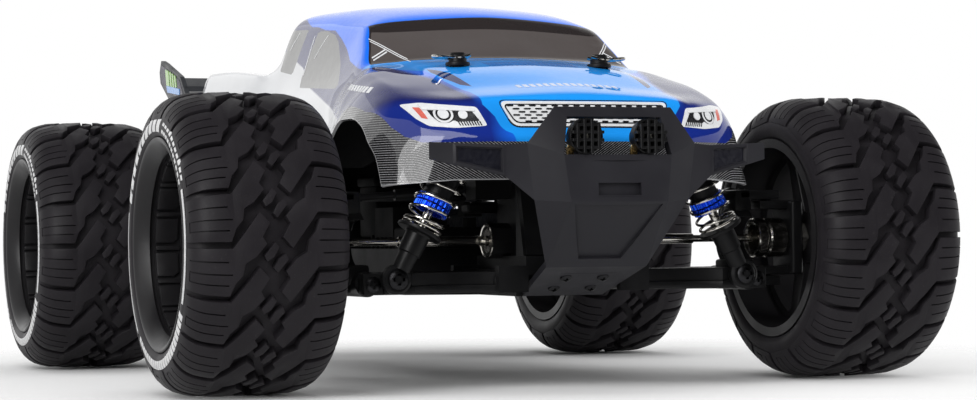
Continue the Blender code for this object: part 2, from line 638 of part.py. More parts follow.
def gearbox_shape():
    """Differential housing with outdrive cups, arm pins in their ears, and the upper links' lugs."""
    housing = box((-18.0, -14.0, 40.7), (18.0, 12.1, 86.0), 2.5)
    adds = [box((-21.0, -28.0, 46.2), (21.0, 28.0, 53.8)),
            rod((0, -19.0, SHAFT_Z), (0, -10.0, SHAFT_Z), 8.0)]
    cuts = [rod((0, -25.0, SHAFT_Z), (0, -12.0, SHAFT_Z), 3.0)]
    pins = []
    for side in (1, -1):
        adds.append(rod((side * 17.0, 0, AXLE_Z), (side * 27.0, 0, AXLE_Z), 7.2))
        cuts.append(rod((side * 15.0, 0, AXLE_Z), (side * 30.0, 0, AXLE_Z), 5.2))
        for y in (-26.3, 26.3):
            adds.append(box((side * 20.0, y - 1.8, 39.4), (side * 32.8, y + 1.8, 50.0)))
        adds.append(box((side * 14.0, -6.4, 77.0), (side * 33.6, 5.0, 86.2)))
        pivot = Vector((side * ARM_PIVOT.x, 0, ARM_PIVOT.z))
        pin_half = Vector((0, 27.5, 0))
        pins.append(rod(pivot - pin_half, pivot + pin_half, PIN_RADIUS, PIN_SIDES))
        pins.append(link_pin((side * LINK_INNER.x, LINK_INNER.y, LINK_INNER.z)))
    return fuse(fuse(housing, adds=adds, cuts=cuts), adds=pins)


def tower_shape():
    """Shock tower plate with shock studs, and two body posts on arms over the gearbox."""
    low_y, high_y = 12.5, 16.5
    outline = mirrored([(16.0, 54.2), (19.0, 84.0), (28.0, 95.0), (47.0, 103.5), (47.0, 113.5),
                        (36.0, 113.5), (25.0, 105.0), (12.0, 98.0)])
    tower = plate(outline, low_y, high_y, across="Y")
    adds = []
    for side in (1, -1):
        stud = Vector((side * SHOCK_TOP.x, high_y - 2.0, SHOCK_TOP.z))
        adds.append(rod(stud, stud + Vector((0, 9.2, 0)), 2.6))
        adds.append(rod(stud, stud + Vector((0, 16.4, 0)), PIN_RADIUS, PIN_SIDES))
        adds.append(box((side * 29.0, POST_Y - 4.0, 96.0), (side * 35.0, low_y + 2.0, 101.4)))
        post = Vector((side * POST_X, POST_Y, 0))
        adds.append(rod(post + Vector((0, 0, 99.0)), post + Vector((0, 0, POST_TOP)), POST_RADIUS))
        adds.append(rod(post + Vector((0, 0, 127.0)), post + Vector((0, 0, 130.2)), 5.4))
    return fuse(tower, adds=adds)


def chassis_shape():
    """Tub chassis: floor that narrows under the gearboxes, side walls and two shaft hangers."""
    floor_low, floor_high, wall_top, half = 37.4, 40.2, 57.0, 47.0
    neck = 19.5
    outline = mirrored([(neck, -160.0), (neck, -117.0), (half, -101.0), (half, 77.0), (neck, 91.0),
                        (neck, 149.0)])
    floor = plate(outline, floor_low, floor_high)
    rim = box((-half, -101.0, 39.0), (half, 77.0, wall_top))
    well = box((-half + 2.4, -98.6, floor_high), (half - 2.4, 74.6, wall_top + 10.0))
    walls = fuse(rim, cuts=[well])
    notches = [box((-8.0, y - 6.0, 50.0), (8.0, y + 6.0, 70.0)) for y in (-101.0, 77.0)]
    hangers = [box((-6.0, y - 2.0, 39.0), (6.0, y + 2.0, SHAFT_Z + 6.0)) for y in (-14.0, 68.0)]
    bores = [rod((0, y - 5.0, SHAFT_Z), (0, y + 5.0, SHAFT_Z), 2.5) for y in (-14.0, 68.0)]
    tub = fuse(floor, adds=[walls, *hangers])
    return fuse(tub, cuts=[*notches, *bores])


def bumper_shape():
    """Bent-plate bumper with its wings, window, skid nose, mounting block and two lamp pods."""
    bm = bmesh.new()
    corners = {name: bm.verts.new(point) for name, point in BUMPER_POINTS.items()}
    for names in BUMPER_FACES:
        bm.faces.new([corners[name] for name in names])
    bmesh.ops.recalc_face_normals(bm, faces=bm.faces)
    skin = loose(bm)
    mirror = skin.modifiers.new("Mirror", "MIRROR")
    mirror.merge_threshold = WELD
    solid = skin.modifiers.new("Wall", "SOLIDIFY")
    solid.thickness = BUMPER_WALL
    solid.offset = 0.0
    solid.use_even_offset = True
    skin = settled(skin)
    adds = [box((-13.0, -204.0, 46.4), (13.0, -175.6, 53.6))]
    for side in (1, -1):
        centre = Vector((side * LAMP_X, -216.0, LAMP_Z))
        pod = [(-7.0, 0.0), (-7.0, 4.0), (0.0, LAMP_RADIUS), (7.0, LAMP_RADIUS), (7.0, 6.0), (5.0, 6.0),
               (5.0, 0.0)]
        adds.append(turned(pod, centre, (0, -1, 0), RING_SIDES))
        adds.append(box((side * LAMP_X - 2.5, -219.0, 88.0), (side * LAMP_X + 2.5, -211.0, 95.0)))
    return fuse(skin, adds=adds)


def body_shell_shape():
    """Body shell lofted through its sections, mirrored, walled and pierced for the body posts."""
    bm = bmesh.new()
    rows = [[bm.verts.new(point) for point in section] for section in BODY_SECTIONS.values()]
    for row, following in zip(rows, rows[1:]):
        for column in range(len(row) - 1):
            bm.faces.new((row[column], row[column + 1], following[column + 1], following[column]))
    bmesh.ops.recalc_face_normals(bm, faces=bm.faces)
    if sum(face.normal.z for face in bm.faces) < 0:
        bmesh.ops.reverse_faces(bm, faces=bm.faces)
    shell = loose(bm)
    mirror = shell.modifiers.new("Mirror", "MIRROR")
    mirror.merge_threshold = WELD
    wall = shell.modifiers.new("Wall", "SOLIDIFY")
    wall.thickness = SHELL_THICKNESS
    wall.offset = -1.0
    wall.use_even_offset = True
    shell = settled(shell)
    holes = []
    for end, sign in END_SIGN.items():
        for side in (1, -1):
            post = Vector((side * POST_X, AXLE_Y[end] + sign * POST_Y, 0))
            foot, head = post + Vector((0, 0, 120)), post + Vector((0, 0, 145))
            holes.append(rod(foot, head, POST_HOLE, PIN_SIDES))
    return fuse(shell, cuts=holes)


def wing_shape():
    """Rear wing: a ribbed blade between two end plates, on two stays over the tailgate."""
    plate_x = 73.0
    side_outline = [(166, 137), (176, 134), (204, 137), (221, 146), (223, 152), (219, 158), (210, 156),
                    (178, 147)]
    blade_outline = [(170, 139), (194, 139), (211, 146), (210, 148.4), (193, 141.6), (170, 141.6)]
    blade = plate(blade_outline, -plate_x, plate_x, across="X")
    stay = [(161.4, 141.4), (171, 138), (190, 138), (190, 140.4), (171, 140.4), (152, 145), (152, 142.8)]
    adds = []
    for side in (1, -1):
        adds.append(plate(side_outline, side * plate_x - 1.2, side * plate_x + 1.2, across="X"))
        adds.append(plate(stay, side * 36.0 - 4.0, side * 36.0 + 4.0, across="X"))
    return fuse(blade, adds=adds)


def gear_outline(teeth, module, phase):
    """A gear's outline with straight-sided teeth, as (x, z) points about its axis."""
    pitch_radius = teeth * module / 2
    pitch = math.tau / teeth
    outline = []
    for index in range(teeth):
        middle = phase + index * pitch
        for share, offset in ((-0.32, -1.25), (-0.1, 0.8), (0.1, 0.8), (0.32, -1.25)):
            radius = pitch_radius + offset * module
            angle = middle + share * pitch
            outline.append((radius * math.cos(angle), radius * math.sin(angle)))
    return outline


def spur_gear_shape():
    """Spur gear on the centre drive shaft, along y at the shaft's height."""
    outline = gear_outline(SPUR_TEETH, GEAR_MODULE, math.pi / SPUR_TEETH)
    spur = plate(outline, GEAR_Y, GEAR_Y + GEAR_WIDTH, across="Y")
    shaft = rod((0, -131.0, 0), (0, 104.0, 0), 2.0)
    hub = rod((0, GEAR_Y - 4.0, 0), (0, GEAR_Y + GEAR_WIDTH + 4.0, 0), 6.0)
    gear = fuse(spur, adds=[hub, shaft])
    gear.data.transform(Matrix.Translation((0, 0, SHAFT_Z)))
    return gear


def pinion_shape():
    """Motor pinion in mesh with the spur gear."""
    pinion = plate(gear_outline(PINION_TEETH, GEAR_MODULE, 0.0), GEAR_Y, GEAR_Y + GEAR_WIDTH, across="Y")
    bore = rod((0, GEAR_Y - 2.0, 0), (0, GEAR_Y + GEAR_WIDTH + 2.0, 0), PIN_BORE, PIN_SIDES)
    pinion = fuse(pinion, cuts=[bore])
    pinion.data.transform(Matrix.Translation((PINION_X, 0, SHAFT_Z)))
    return pinion


def motor_shape():
    """Motor can with its end bell, cooling slots, foot and the shaft that the pinion turns on."""
    front, rear, radius = 18.0, 64.0, 14.0
    centre = Vector((PINION_X, 0, SHAFT_Z))
    profile = [(front, 0.0), (front, 6.0), (front + 2.0, radius), (rear - 8.0, radius),
               (rear - 8.0, radius - 1.2), (rear, radius - 1.2), (rear, 0.0)]
    can = turned(profile, centre, (0, 1, 0), RING_SIDES)
    shaft = rod(centre + Vector((0, 5.0, 0)), centre + Vector((0, front + 3.0, 0)), PIN_RADIUS, PIN_SIDES)
    foot = box((PINION_X - 10.0, front + 3.0, 40.6), (PINION_X + 10.0, front + 7.0, SHAFT_Z))
    slot_half = Vector((20.0, 2.0, 2.5))
    slot_centre = centre + Vector((0, rear - 4.0, 0))
    slots = [box(slot_centre - slot_half, slot_centre + slot_half)]
    core = rod(centre + Vector((0, front + 4, 0)), centre + Vector((0, rear - 0.5, 0)), radius - 4.0)
    return fuse(fuse(can, adds=[foot], cuts=slots), adds=[shaft, core])


def battery_shape():
    """Battery pack of two rows of cells, standing on edge in one sleeve."""
    return box((22.0, -58.0, 40.6), (43.8, 60.0, 75.4), 3.0)


def speed_control_shape():
    """Speed control and receiver in one case, with a finned heat sink and its fan."""
    case = box((-43.8, -72.0, 40.6), (-12.0, -20.0, 56.0), 1.5)
    fins = [box((-40.0, y, 55.0), (-16.0, y + 2.0, 63.0)) for y in range(-66, -30, 6)]
    fan = box((-40.5, -67.0, 62.0), (-15.5, -42.0, 75.0))
    return fuse(case, adds=[*fins, fan])


def servo_shape():
    """Steering servo with its mounting ears and output boss."""
    x, y = SAVER_PIVOT.x, SAVER_PIVOT.y
    case = box((-43.6, y - 3.2, 40.6), (x + 8.0, y + 15.0, 66.0), 0.8)
    ears = box((-44.2, y - 1.0, 58.0), (x + 9.6, y + 12.0, 60.4))
    boss = rod((x, y, 65.0), (x, y, 70.0), 3.0)
    return fuse(case, adds=[ears, boss])


def servo_saver_shape():
    """Servo saver lever: hub over the servo's output, arm and the stud in the drag link's slot."""
    x, y = SAVER_PIVOT.x, SAVER_PIVOT.y
    end_y = AXLE_Y["front"] - TIE_Y
    hub = rod((x, y, 70.5), (x, y, 80.0), 5.5)
    arm = box((x - 3.0, end_y - 3.0, 77.0), (x + 3.0, y, 80.0))
    stud = rod((x, end_y, 72.4), (x, end_y, 78.0), PIN_RADIUS, PIN_SIDES)
    return fuse(hub, adds=[arm, stud])


def drag_link_shape():
    """Drag link across the chassis with a stud for each tie rod and a slot for the lever."""
    y = AXLE_Y["front"] - TIE_Y
    bar = box((-TIE_INNER_X - 4.0, y - 4.2, 71.6), (TIE_INNER_X + 4.0, y + 4.2, 75.8), 0.8)
    slot = box((SAVER_PIVOT.x - 2.1, y - 3.0, 68.0), (SAVER_PIVOT.x + 2.1, y + 3.4, 80.0))
    studs = [rod((x, y, 74.0), (x, y, TIE_Z + 3.0), PIN_RADIUS, PIN_SIDES)
             for x in (-TIE_INNER_X, TIE_INNER_X)]
    return fuse(fuse(bar, cuts=[slot]), adds=studs)


def tie_rod_shape():
    """Tie rod between a drag link stud and a knuckle stud, with room at its open outer pivot."""
    inner = Vector((TIE_INNER_X, TIE_Y, TIE_Z))
    outer = Vector((KINGPIN_X, TIE_Y, TIE_Z))
    half = Vector((0, 0, 1.9))
    bar = rod(inner + Vector((3.2, 0, 0)), outer - Vector((4.2, 0, 0)), 1.7)
    eyes = [rod(inner - half, inner + half, EYE_RADIUS), rod(outer - half, outer + half, 5.2)]
    bores = [rod(inner - half * 3, inner + half * 3, PIN_BORE + 0.4),
             rod(outer - half * 3, outer + half * 3, PIN_RADIUS + 1.9)]
    return fuse(bar, adds=eyes, cuts=bores)


def add_corner(end, side, axle, paints, shapes):
    """All the pieces of one wheel corner."""
    tag = f"{end}_{side}"
    signs = {"side": SIDE_SIGN[side], "end": END_SIGN[end]}
    wheel = (WHEEL_X[end], 0.0, AXLE_Z)
    hub = empty(f"wheel_centre_{tag}", (signs["side"] * wheel[0], 0.0, AXLE_Z), axle)
    place(f"tyre_{tag}", shapes["tyre"], (0, 0, 0), paints["tyre"], hub, **signs)
    place(f"rim_{tag}", shapes["rim"], (0, 0, 0), paints["plastic"], hub, **signs)
    place(f"stub_axle_{tag}", shapes[f"stub_axle_{end}"], wheel, paints["steel"], axle, **signs)
    place(f"lower_arm_{tag}", shapes["lower_arm"], ARM_PIVOT, paints["plastic"], axle, **signs)
    place(f"upper_link_{tag}", shapes["upper_link"], LINK_INNER, paints["plastic"], axle, **signs)
    place(f"half_shaft_{tag}", shapes["half_shaft"], (OUTDRIVE_X, 0, AXLE_Z), paints["steel"], axle, **signs)
    place(f"shock_body_{tag}", shapes["shock_body"], SHOCK_TOP, paints["anodised"], axle, **signs)
    place(f"shock_rod_{tag}", shapes["shock_rod"], SHOCK_FOOT, paints["plastic"], axle, **signs)
    add_spring(f"shock_spring_{tag}", shapes["spring"], paints["steel"], axle, **signs)
    if end == "front":
        place(f"caster_block_{side}", shapes["caster_block"], ARM_PIN, paints["plastic"], axle, **signs)
        place(f"knuckle_{side}", shapes["knuckle"], (KINGPIN_X, 0, AXLE_Z), paints["plastic"], axle, **signs)
        tie_inner = (TIE_INNER_X, TIE_Y, TIE_Z)
        place(f"tie_rod_{side}", shapes["tie_rod"], tie_inner, paints["steel"], axle, **signs)
    else:
        place(f"hub_carrier_{side}", shapes["hub_carrier"], ARM_PIN, paints["plastic"], axle, **signs)


def add_axles(truck, paints):
    """Both axles: gearbox, tower and two corners each."""
    shapes = {"tyre": tyre_shape(), "rim": rim_shape(), "lower_arm": lower_arm_shape(),
              "upper_link": upper_link_shape(), "half_shaft": half_shaft_shape(),
              "shock_body": shock_body_shape(), "shock_rod": shock_rod_shape(),
              "caster_block": caster_block_shape(), "knuckle": knuckle_shape(), "tie_rod": tie_rod_shape(),
              "hub_carrier": hub_carrier_shape(), "gearbox": gearbox_shape(), "tower": tower_shape(),
              "stub_axle_front": stub_axle_shape(WHEEL_X["front"]),
              "stub_axle_rear": stub_axle_shape(WHEEL_X["rear"]), "spring": spring_points()}
    print(f"least gap between spring turns: {spring_gap(shapes['spring']):.2f} mm")
    for end, sign in END_SIGN.items():
        axle = empty(f"{end}_axle", (0, AXLE_Y[end], 0), truck)
        place(f"{end}_gearbox", shapes["gearbox"], (0, 0, 0), paints["plastic"], axle, end=sign)
        place(f"{end}_shock_tower", shapes["tower"], (0, 0, 0), paints["plastic"], axle, end=sign)
        for side in SIDE_SIGN:
            add_corner(end, side, axle, paints, shapes)
    discard(*[shape for shape in shapes.values() if isinstance(shape, bpy.types.Object)])


def add_centre(truck, paints):
    """Chassis, body, bumper, wing, drive and steering pieces."""
    saver_pivot = (SAVER_PIVOT.x, SAVER_PIVOT.y, 75.0)
    pieces = [("chassis", chassis_shape(), (0, 0, 0), "plastic"),
              ("front_bumper", bumper_shape(), (0, 0, 0), "plastic"),
              ("body_shell", body_shell_shape(), (0, 0, 0), "body"),
              ("rear_wing", wing_shape(), (0, 0, 0), "plastic"),
              ("spur_gear", spur_gear_shape(), (0, GEAR_Y, SHAFT_Z), "nylon"),
              ("pinion_gear", pinion_shape(), (PINION_X, GEAR_Y, SHAFT_Z), "steel"),
              ("motor", motor_shape(), (PINION_X, GEAR_Y, SHAFT_Z), "can"),
              ("battery", battery_shape(), (0, 0, 0), "sleeve"),
              ("speed_control", speed_control_shape(), (0, 0, 0), "plastic"),
              ("steering_servo", servo_shape(), (0, 0, 0), "plastic"),
              ("servo_saver", servo_saver_shape(), saver_pivot, "nylon"),
              ("drag_link", drag_link_shape(), (0, AXLE_Y["front"] - TIE_Y, TIE_Z), "plastic")]
    for name, shape, pivot, paint in pieces:
        place(name, shape, pivot, paints[paint], truck)
        discard(shape)


def main():
    """Build the whole truck."""
    paints = {"tyre": new_material("tyre_rubber", (0.012, 0.012, 0.013), 0.75),
              "plastic": new_material("black_plastic", (0.016, 0.016, 0.018), 0.5),
              "steel": new_material("nickel_steel", (0.62, 0.61, 0.58), 0.25, 1.0),
              "anodised": new_material("blue_anodised", (0.02, 0.09, 0.55), 0.3, 1.0),
              "body": new_material("blue_polycarbonate", (0.02, 0.12, 0.62), 0.15),
              "nylon": new_material("grey_nylon", (0.12, 0.12, 0.12), 0.55),
              "can": new_material("motor_can", (0.45, 0.45, 0.46), 0.35, 1.0),
              "sleeve": new_material("battery_sleeve", (0.03, 0.10, 0.30), 0.35)}
    truck = empty("truck", (0, 0, 0))
    add_axles(truck, paints)
    add_centre(truck, paints)


clear_scene()
PARTS = new_collection("rc_monster_truck")
WORKING = new_collection("working_shapes")
main()
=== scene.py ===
"""Looks of a 1/10 radio-controlled monster truck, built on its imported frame."""

import logging
import math
from collections.abc import Callable, Sequence
from dataclasses import dataclass, field
from enum import Enum
from functools import cache

import bpy
import numpy as np
from mathutils import Matrix, Vector

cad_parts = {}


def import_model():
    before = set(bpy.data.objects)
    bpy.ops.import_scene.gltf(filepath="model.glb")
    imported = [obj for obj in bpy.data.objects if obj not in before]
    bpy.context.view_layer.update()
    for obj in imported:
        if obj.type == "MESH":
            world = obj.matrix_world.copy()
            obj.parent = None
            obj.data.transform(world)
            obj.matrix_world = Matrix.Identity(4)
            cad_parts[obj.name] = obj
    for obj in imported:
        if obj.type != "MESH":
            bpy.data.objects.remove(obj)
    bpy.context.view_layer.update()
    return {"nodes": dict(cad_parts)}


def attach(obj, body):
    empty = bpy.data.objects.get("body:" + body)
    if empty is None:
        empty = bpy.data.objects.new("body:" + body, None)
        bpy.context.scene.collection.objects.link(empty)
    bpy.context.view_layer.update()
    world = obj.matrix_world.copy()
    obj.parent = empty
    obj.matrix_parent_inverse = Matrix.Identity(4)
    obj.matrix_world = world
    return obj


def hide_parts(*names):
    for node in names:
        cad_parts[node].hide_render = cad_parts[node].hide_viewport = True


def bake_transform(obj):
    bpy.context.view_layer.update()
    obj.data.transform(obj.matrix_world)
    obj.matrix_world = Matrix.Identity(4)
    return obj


MM = 0.001
WELD = 0.002
SMOOTH = 32.0
ORIGIN = (0.0, 0.0, 0.0)
OUTWARD = (1.0, 0.0, 0.0)
FORWARD = (0.0, -1.0, 0.0)
UP = (0.0, 0.0, 1.0)
ALONG = Vector((0.0, 1.0, 0.0))
HERE = Matrix.Identity(4)
LOG = logging.getLogger("truck")

Numbers = Sequence[float]
Point = Numbers
Outline = Sequence[Point]
Curve = Sequence[Numbers]
Colour = tuple[float, float, float]
Material = bpy.types.Material
Piece = bpy.types.Object
Node = bpy.types.Node
Socket = bpy.types.NodeSocket


class End(Enum):
    """The two axles."""

    FRONT = "front"
    REAR = "rear"

    @property
    def sign(self) -> int:
        """Direction from the truck's middle to this axle along Y."""
        return -1 if self is End.FRONT else 1

    @property
    def axle_y(self) -> float:
        """Place of the axle along the truck, in millimetres."""
        return -147.0 if self is End.FRONT else 121.0

    @property
    def wheel_x(self) -> float:
        """Distance of the wheel's middle from the centre line."""
        return 133.4 if self is End.FRONT else 136.8


class Side(Enum):
    """The truck's two sides."""

    LEFT = "left"
    RIGHT = "right"

    @property
    def sign(self) -> int:
        """Direction of this side along X."""
        return 1 if self is Side.LEFT else -1


class Across(Enum):
    """The axis that a plate's thickness lies along."""

    X = "x"
    Y = "y"
    Z = "z"

    @property
    def index(self) -> int:
        """Place of the axis in a point."""
        return "xyz".index(self.value)

    @property
    def frame(self) -> Matrix:
        """Flat frame, with its height along this axis, to truck frame.

        Returns:
            The matrix.
        """
        rows = {"x": ((0, 0, 1), (1, 0, 0), (0, 1, 0)), "y": ((1, 0, 0), (0, 0, 1), (0, 1, 0)),
                "z": ((1, 0, 0), (0, 1, 0), (0, 0, 1))}
        return Matrix(rows[self.value]).to_4x4()


@dataclass(frozen=True)
class Corner:
    """One wheel corner; its own frame has x outward and y towards the nearer end of the truck."""

    end: End
    side: Side
    axle_z: float = 60.0

    @property
    def tag(self) -> str:
        """Name of the corner as nodes and bodies carry it."""
        return f"{self.end.value}_{self.side.value}"

    @property
    def matrix(self) -> Matrix:
        """Corner frame to truck frame."""
        turn = Matrix.Diagonal((self.side.sign, self.end.sign, 1.0, 1.0))
        return Matrix.Translation((0.0, self.end.axle_y, 0.0)) @ turn

    @property
    def wheel(self) -> Matrix:
        """Wheel frame, with its outer face along +X, to truck frame.

        Returns:
            The matrix.
        """
        centre = (self.side.sign * self.end.wheel_x, self.end.axle_y, self.axle_z)
        turn = 0.0 if self.side is Side.LEFT else math.pi
        return Matrix.Translation(centre) @ Matrix.Rotation(turn, 4, "Z")


CORNERS = tuple(Corner(end, side) for end in End for side in Side)


def depth_inside(points: np.ndarray, polygon: Outline) -> np.ndarray:
    """Distance of flat points into a polygon.

    Args:
        points: Rows of two coordinates.
        polygon: Its corners in order.

    Returns:
        Distance to the outline, positive inside.
    """
    inside = np.zeros(len(points), dtype=bool)
    nearest = np.full(len(points), np.inf)
    for start, end in zip(np.array(polygon), np.roll(np.array(polygon), -1, axis=0)):
        edge, offset = end - start, points - start
        share = np.clip(offset @ edge / (edge @ edge), 0.0, 1.0)
        nearest = np.minimum(nearest, np.linalg.norm(offset - share[:, None] * edge, axis=1))
        crosses = (start[1] > points[:, 1]) != (end[1] > points[:, 1])
        rise = edge[1] if edge[1] != 0.0 else 1.0
        inside ^= crosses & (offset[:, 0] < edge[0] * offset[:, 1] / rise)
    return np.where(inside, nearest, -nearest)


def aimed(place: Point, direction: Point, front: str = "Z") -> Matrix:
    """Frame at a place, with its front axis along a direction, to truck frame."""
    return Matrix.Translation(place) @ Vector(direction).to_track_quat(front, "Y").to_matrix().to_4x4()


def evenly(start: float, end: float, parts: int) -> list[float]:
    """The places that divide a span into equal parts, without its ends."""
    return [start + (end - start) * step / parts for step in range(1, parts)]


def curved(values: np.ndarray, slopes: np.ndarray, at: np.ndarray) -> np.ndarray:
    """Read a smooth curve that has given values and slopes.

    Args:
        values: Values at 0, 1, 2 and so on, along the first axis.
        slopes: Slopes there.
        at: Where to read it.

    Returns:
        The values there.
    """
    low = np.clip(np.floor(at).astype(int), 0, len(values) - 2)
    share = (at - low).reshape((-1,) + (1,) * (values.ndim - 1))
    rest = 1.0 - share
    return (values[low] * (1.0 + 2.0 * share) * rest ** 2 + slopes[low] * share * rest ** 2
            + values[low + 1] * share ** 2 * (3.0 - 2.0 * share) - slopes[low + 1] * share ** 2 * rest)


def rounded(outline: Outline, radius: float, steps: int = 5) -> Outline:
    """An outline with its corners rounded.

    Args:
        outline: Corners in order.
        radius: How far from each corner the rounding starts.
        steps: Edges across each corner.

    Returns:
        The rounded outline.
    """
    corners = [Vector(corner) for corner in outline]
    result = []
    for behind, corner, ahead in zip(corners[-1:] + corners[:-1], corners, corners[1:] + corners[:1]):
        start, end = [corner + side.normalized() * min(radius, side.length / 2)
                      for side in (behind - corner, ahead - corner)]
        for share in (step / steps for step in range(steps + 1)):
            result.append(tuple(start.lerp(corner, share).lerp(corner.lerp(end, share), share)))
    return result


# Modelling steps, all in millimetres until a piece is fitted to the truck.

def pick(piece: Piece, *others: Piece) -> Piece:
    """Select pieces in object mode, the first one active.

    Args:
        piece: The piece to make active.
        others: Further pieces to select.

    Returns:
        The active piece.
    """
    bpy.ops.object.select_all(action="DESELECT")
    for each in (piece, *others):
        each.select_set(True)
    bpy.context.view_layer.objects.active = piece
    return piece


def edit(piece: Piece) -> None:
    """Open a piece in edit mode with everything selected.

    Args:
        piece: The piece.
    """
    pick(piece)
    bpy.ops.object.mode_set(mode="EDIT")
    bpy.ops.mesh.select_all(action="SELECT")


def done() -> None:
    """Leave edit mode, with points to be picked next time."""
    bpy.ops.mesh.select_mode(type="VERT")
    bpy.ops.object.mode_set(mode="OBJECT")


def close(weld: float = 0.0) -> None:
    """Leave edit mode with welded points and outward normals.

    Args:
        weld: Distance below which points merge, or 0 for none.
    """
    bpy.ops.mesh.select_all(action="SELECT")
    if weld > 0.0:
        bpy.ops.mesh.remove_doubles(threshold=weld)
    bpy.ops.mesh.normals_make_consistent(inside=False)
    done()


def choose(piece: Piece, rule: Callable[[bpy.types.MeshPolygon], bool]) -> None:
    """Open a piece in edit mode with only the faces selected that a rule picks.

    Args:
        piece: The piece.
        rule: Whether it picks a face.
    """
    edit(piece)
    bpy.ops.mesh.select_all(action="DESELECT")
    bpy.ops.mesh.select_mode(type="FACE")
    bpy.ops.object.mode_set(mode="OBJECT")
    for polygon in piece.data.polygons:
        polygon.select = rule(polygon)
    bpy.ops.object.mode_set(mode="EDIT")


def primitive(shape: str, **settings: object) -> Piece:
    """Add a primitive with nothing else selected.

    Args:
        shape: Its kind, as its operator names it.
        settings: The operator's settings.

    Returns:
        The new piece.
    """
    bpy.ops.object.select_all(action="DESELECT")
    getattr(bpy.ops.mesh, f"primitive_{shape}_add")(**settings)
    return bpy.context.object


def apply(piece: Piece, kind: str, **settings: object) -> Piece:
    """Add a modifier, set it and apply it.

    Args:
        piece: The piece to change.
        kind: The modifier's type.
        settings: Its properties.

    Returns:
        The same piece.
    """
    pick(piece)
    modifier = piece.modifiers.new(kind.title(), kind)
    for key, value in settings.items():
        setattr(modifier, key, value)
    bpy.ops.object.modifier_apply(modifier=modifier.name)
    return piece


def round_edges(piece: Piece, width: float, segments: int = 2, angle: float = 35.0) -> Piece:
    """Bevel the edges that are sharper than an angle.

    Args:
        piece: The piece to round.
        width: Bevel width, or 0 for none.
        segments: Faces across each bevel.
        angle: Sharpness limit in degrees.

    Returns:
        The same piece.
    """
    if width > 0.0:
        apply(piece, "BEVEL", width=width, segments=segments, limit_method="ANGLE",
              angle_limit=math.radians(angle), harden_normals=False)
    return piece


def line(points: Outline, closed: bool = False, radius: float = 0.0, sides: int = 4,
         smooth: bool = False) -> Piece:
    """A chain of edges through points, or a wire if it has a radius.

    Args:
        points: Points on its middle line.
        closed: Whether the last joins the first.
        radius: The wire's radius.
        sides: Faces round the wire.
        smooth: Whether it curves through the points.

    Returns:
        The new mesh.
    """
    curve = bpy.data.curves.new("line", "CURVE")
    curve.dimensions = "3D"
    curve.bevel_depth = radius
    curve.bevel_resolution = max(0, sides // 2 - 2)
    curve.use_fill_caps = True
    spline = curve.splines.new("NURBS" if smooth else "POLY")
    spline.points.add(len(points) - 1)
    for knot, point in zip(spline.points, points):
        knot.co = (*point, 1.0)
    spline.use_cyclic_u = closed
    spline.use_endpoint_u = True
    spline.order_u = 3
    spline.resolution_u = 6
    piece = bpy.data.objects.new("line", curve)
    bpy.context.collection.objects.link(piece)
    pick(piece)
    bpy.ops.object.convert(target="MESH")
    return bpy.context.object


def face(corners: Outline) -> Piece:
    """A flat face.

    Args:
        corners: Its corners in order.

    Returns:
        The new piece.
    """
    piece = line(corners, closed=True)
    edit(piece)
    bpy.ops.mesh.edge_face_add()
    done()
    return piece


def sheet(outline: Outline, at: float, across: Across) -> Piece:
    """A flat face at a place on an axis, with its outline in the two other axes."""
    return moved(face([(a, b, at) for a, b in outline]), across.frame)


def block(low: Point, high: Point, bevel: float = 0.0, segments: int = 2) -> Piece:
    """A box between two corners, with rounded edges.

    Args:
        low: Lowest corner.
        high: Highest corner.
        bevel: Width of its edge rounding.
        segments: Faces across the rounding.

    Returns:
        The new piece.
    """
    piece = primitive("cube", size=1.0, location=[(a + b) / 2 for a, b in zip(low, high)])
    piece.scale = [b - a for a, b in zip(low, high)]
    bpy.ops.object.transform_apply(location=True, rotation=True, scale=True)
    return round_edges(piece, bevel, segments)


def turned(profile: Outline, start: Point, direction: Point, steps: int = 40, closed: bool = False) -> Piece:
    """A turned form.

    Args:
        profile: (along, radius) pairs.
        start: Point on the axis where along is 0.
        direction: The axis.
        steps: Steps in the full turn.
        closed: Whether the profile closes on itself.

    Returns:
        The new piece.
    """
    piece = line([(radius, 0.0, along) for along, radius in profile], closed)
    edit(piece)
    bpy.ops.mesh.spin(steps=steps, angle=math.tau, center=ORIGIN, axis=UP)
    close(WELD)
    return moved(piece, aimed(start, direction))


def rod(start: Point, end: Point, radius: float, steps: int = 32, bevel: float = 0.0) -> Piece:
    """A round bar between two points with turned-down ends.

    Args:
        start: Centre of one end.
        end: Centre of the other.
        radius: Its radius.
        steps: Steps in the turn.
        bevel: Size of the end chamfers.

    Returns:
        The new piece.
    """
    axis = Vector(end) - Vector(start)
    edge = max(bevel, 0.05 * radius)
    profile = [(0.0, 0.0), (0.0, radius - edge), (edge, radius), (axis.length - edge, radius),
               (axis.length, radius - edge), (axis.length, 0.0)]
    return turned(profile, start, axis, steps)


def eye(centre: Point, half: float, radius: float, bore: float, bevel: float, steps: int = 32) -> Piece:
    """A bored boss along Y.

    Args:
        centre: Its middle.
        half: Half its length.
        radius: Its radius.
        bore: Radius of its bore.
        bevel: Size of its end chamfers.
        steps: Steps in its turn.

    Returns:
        The new piece.
    """
    middle, reach = Vector(centre), ALONG * half
    boss = rod(middle - reach, middle + reach, radius, steps, bevel)
    over = reach + ALONG * 6
    return cut(boss, rod(middle - over, middle + over, bore, 24))


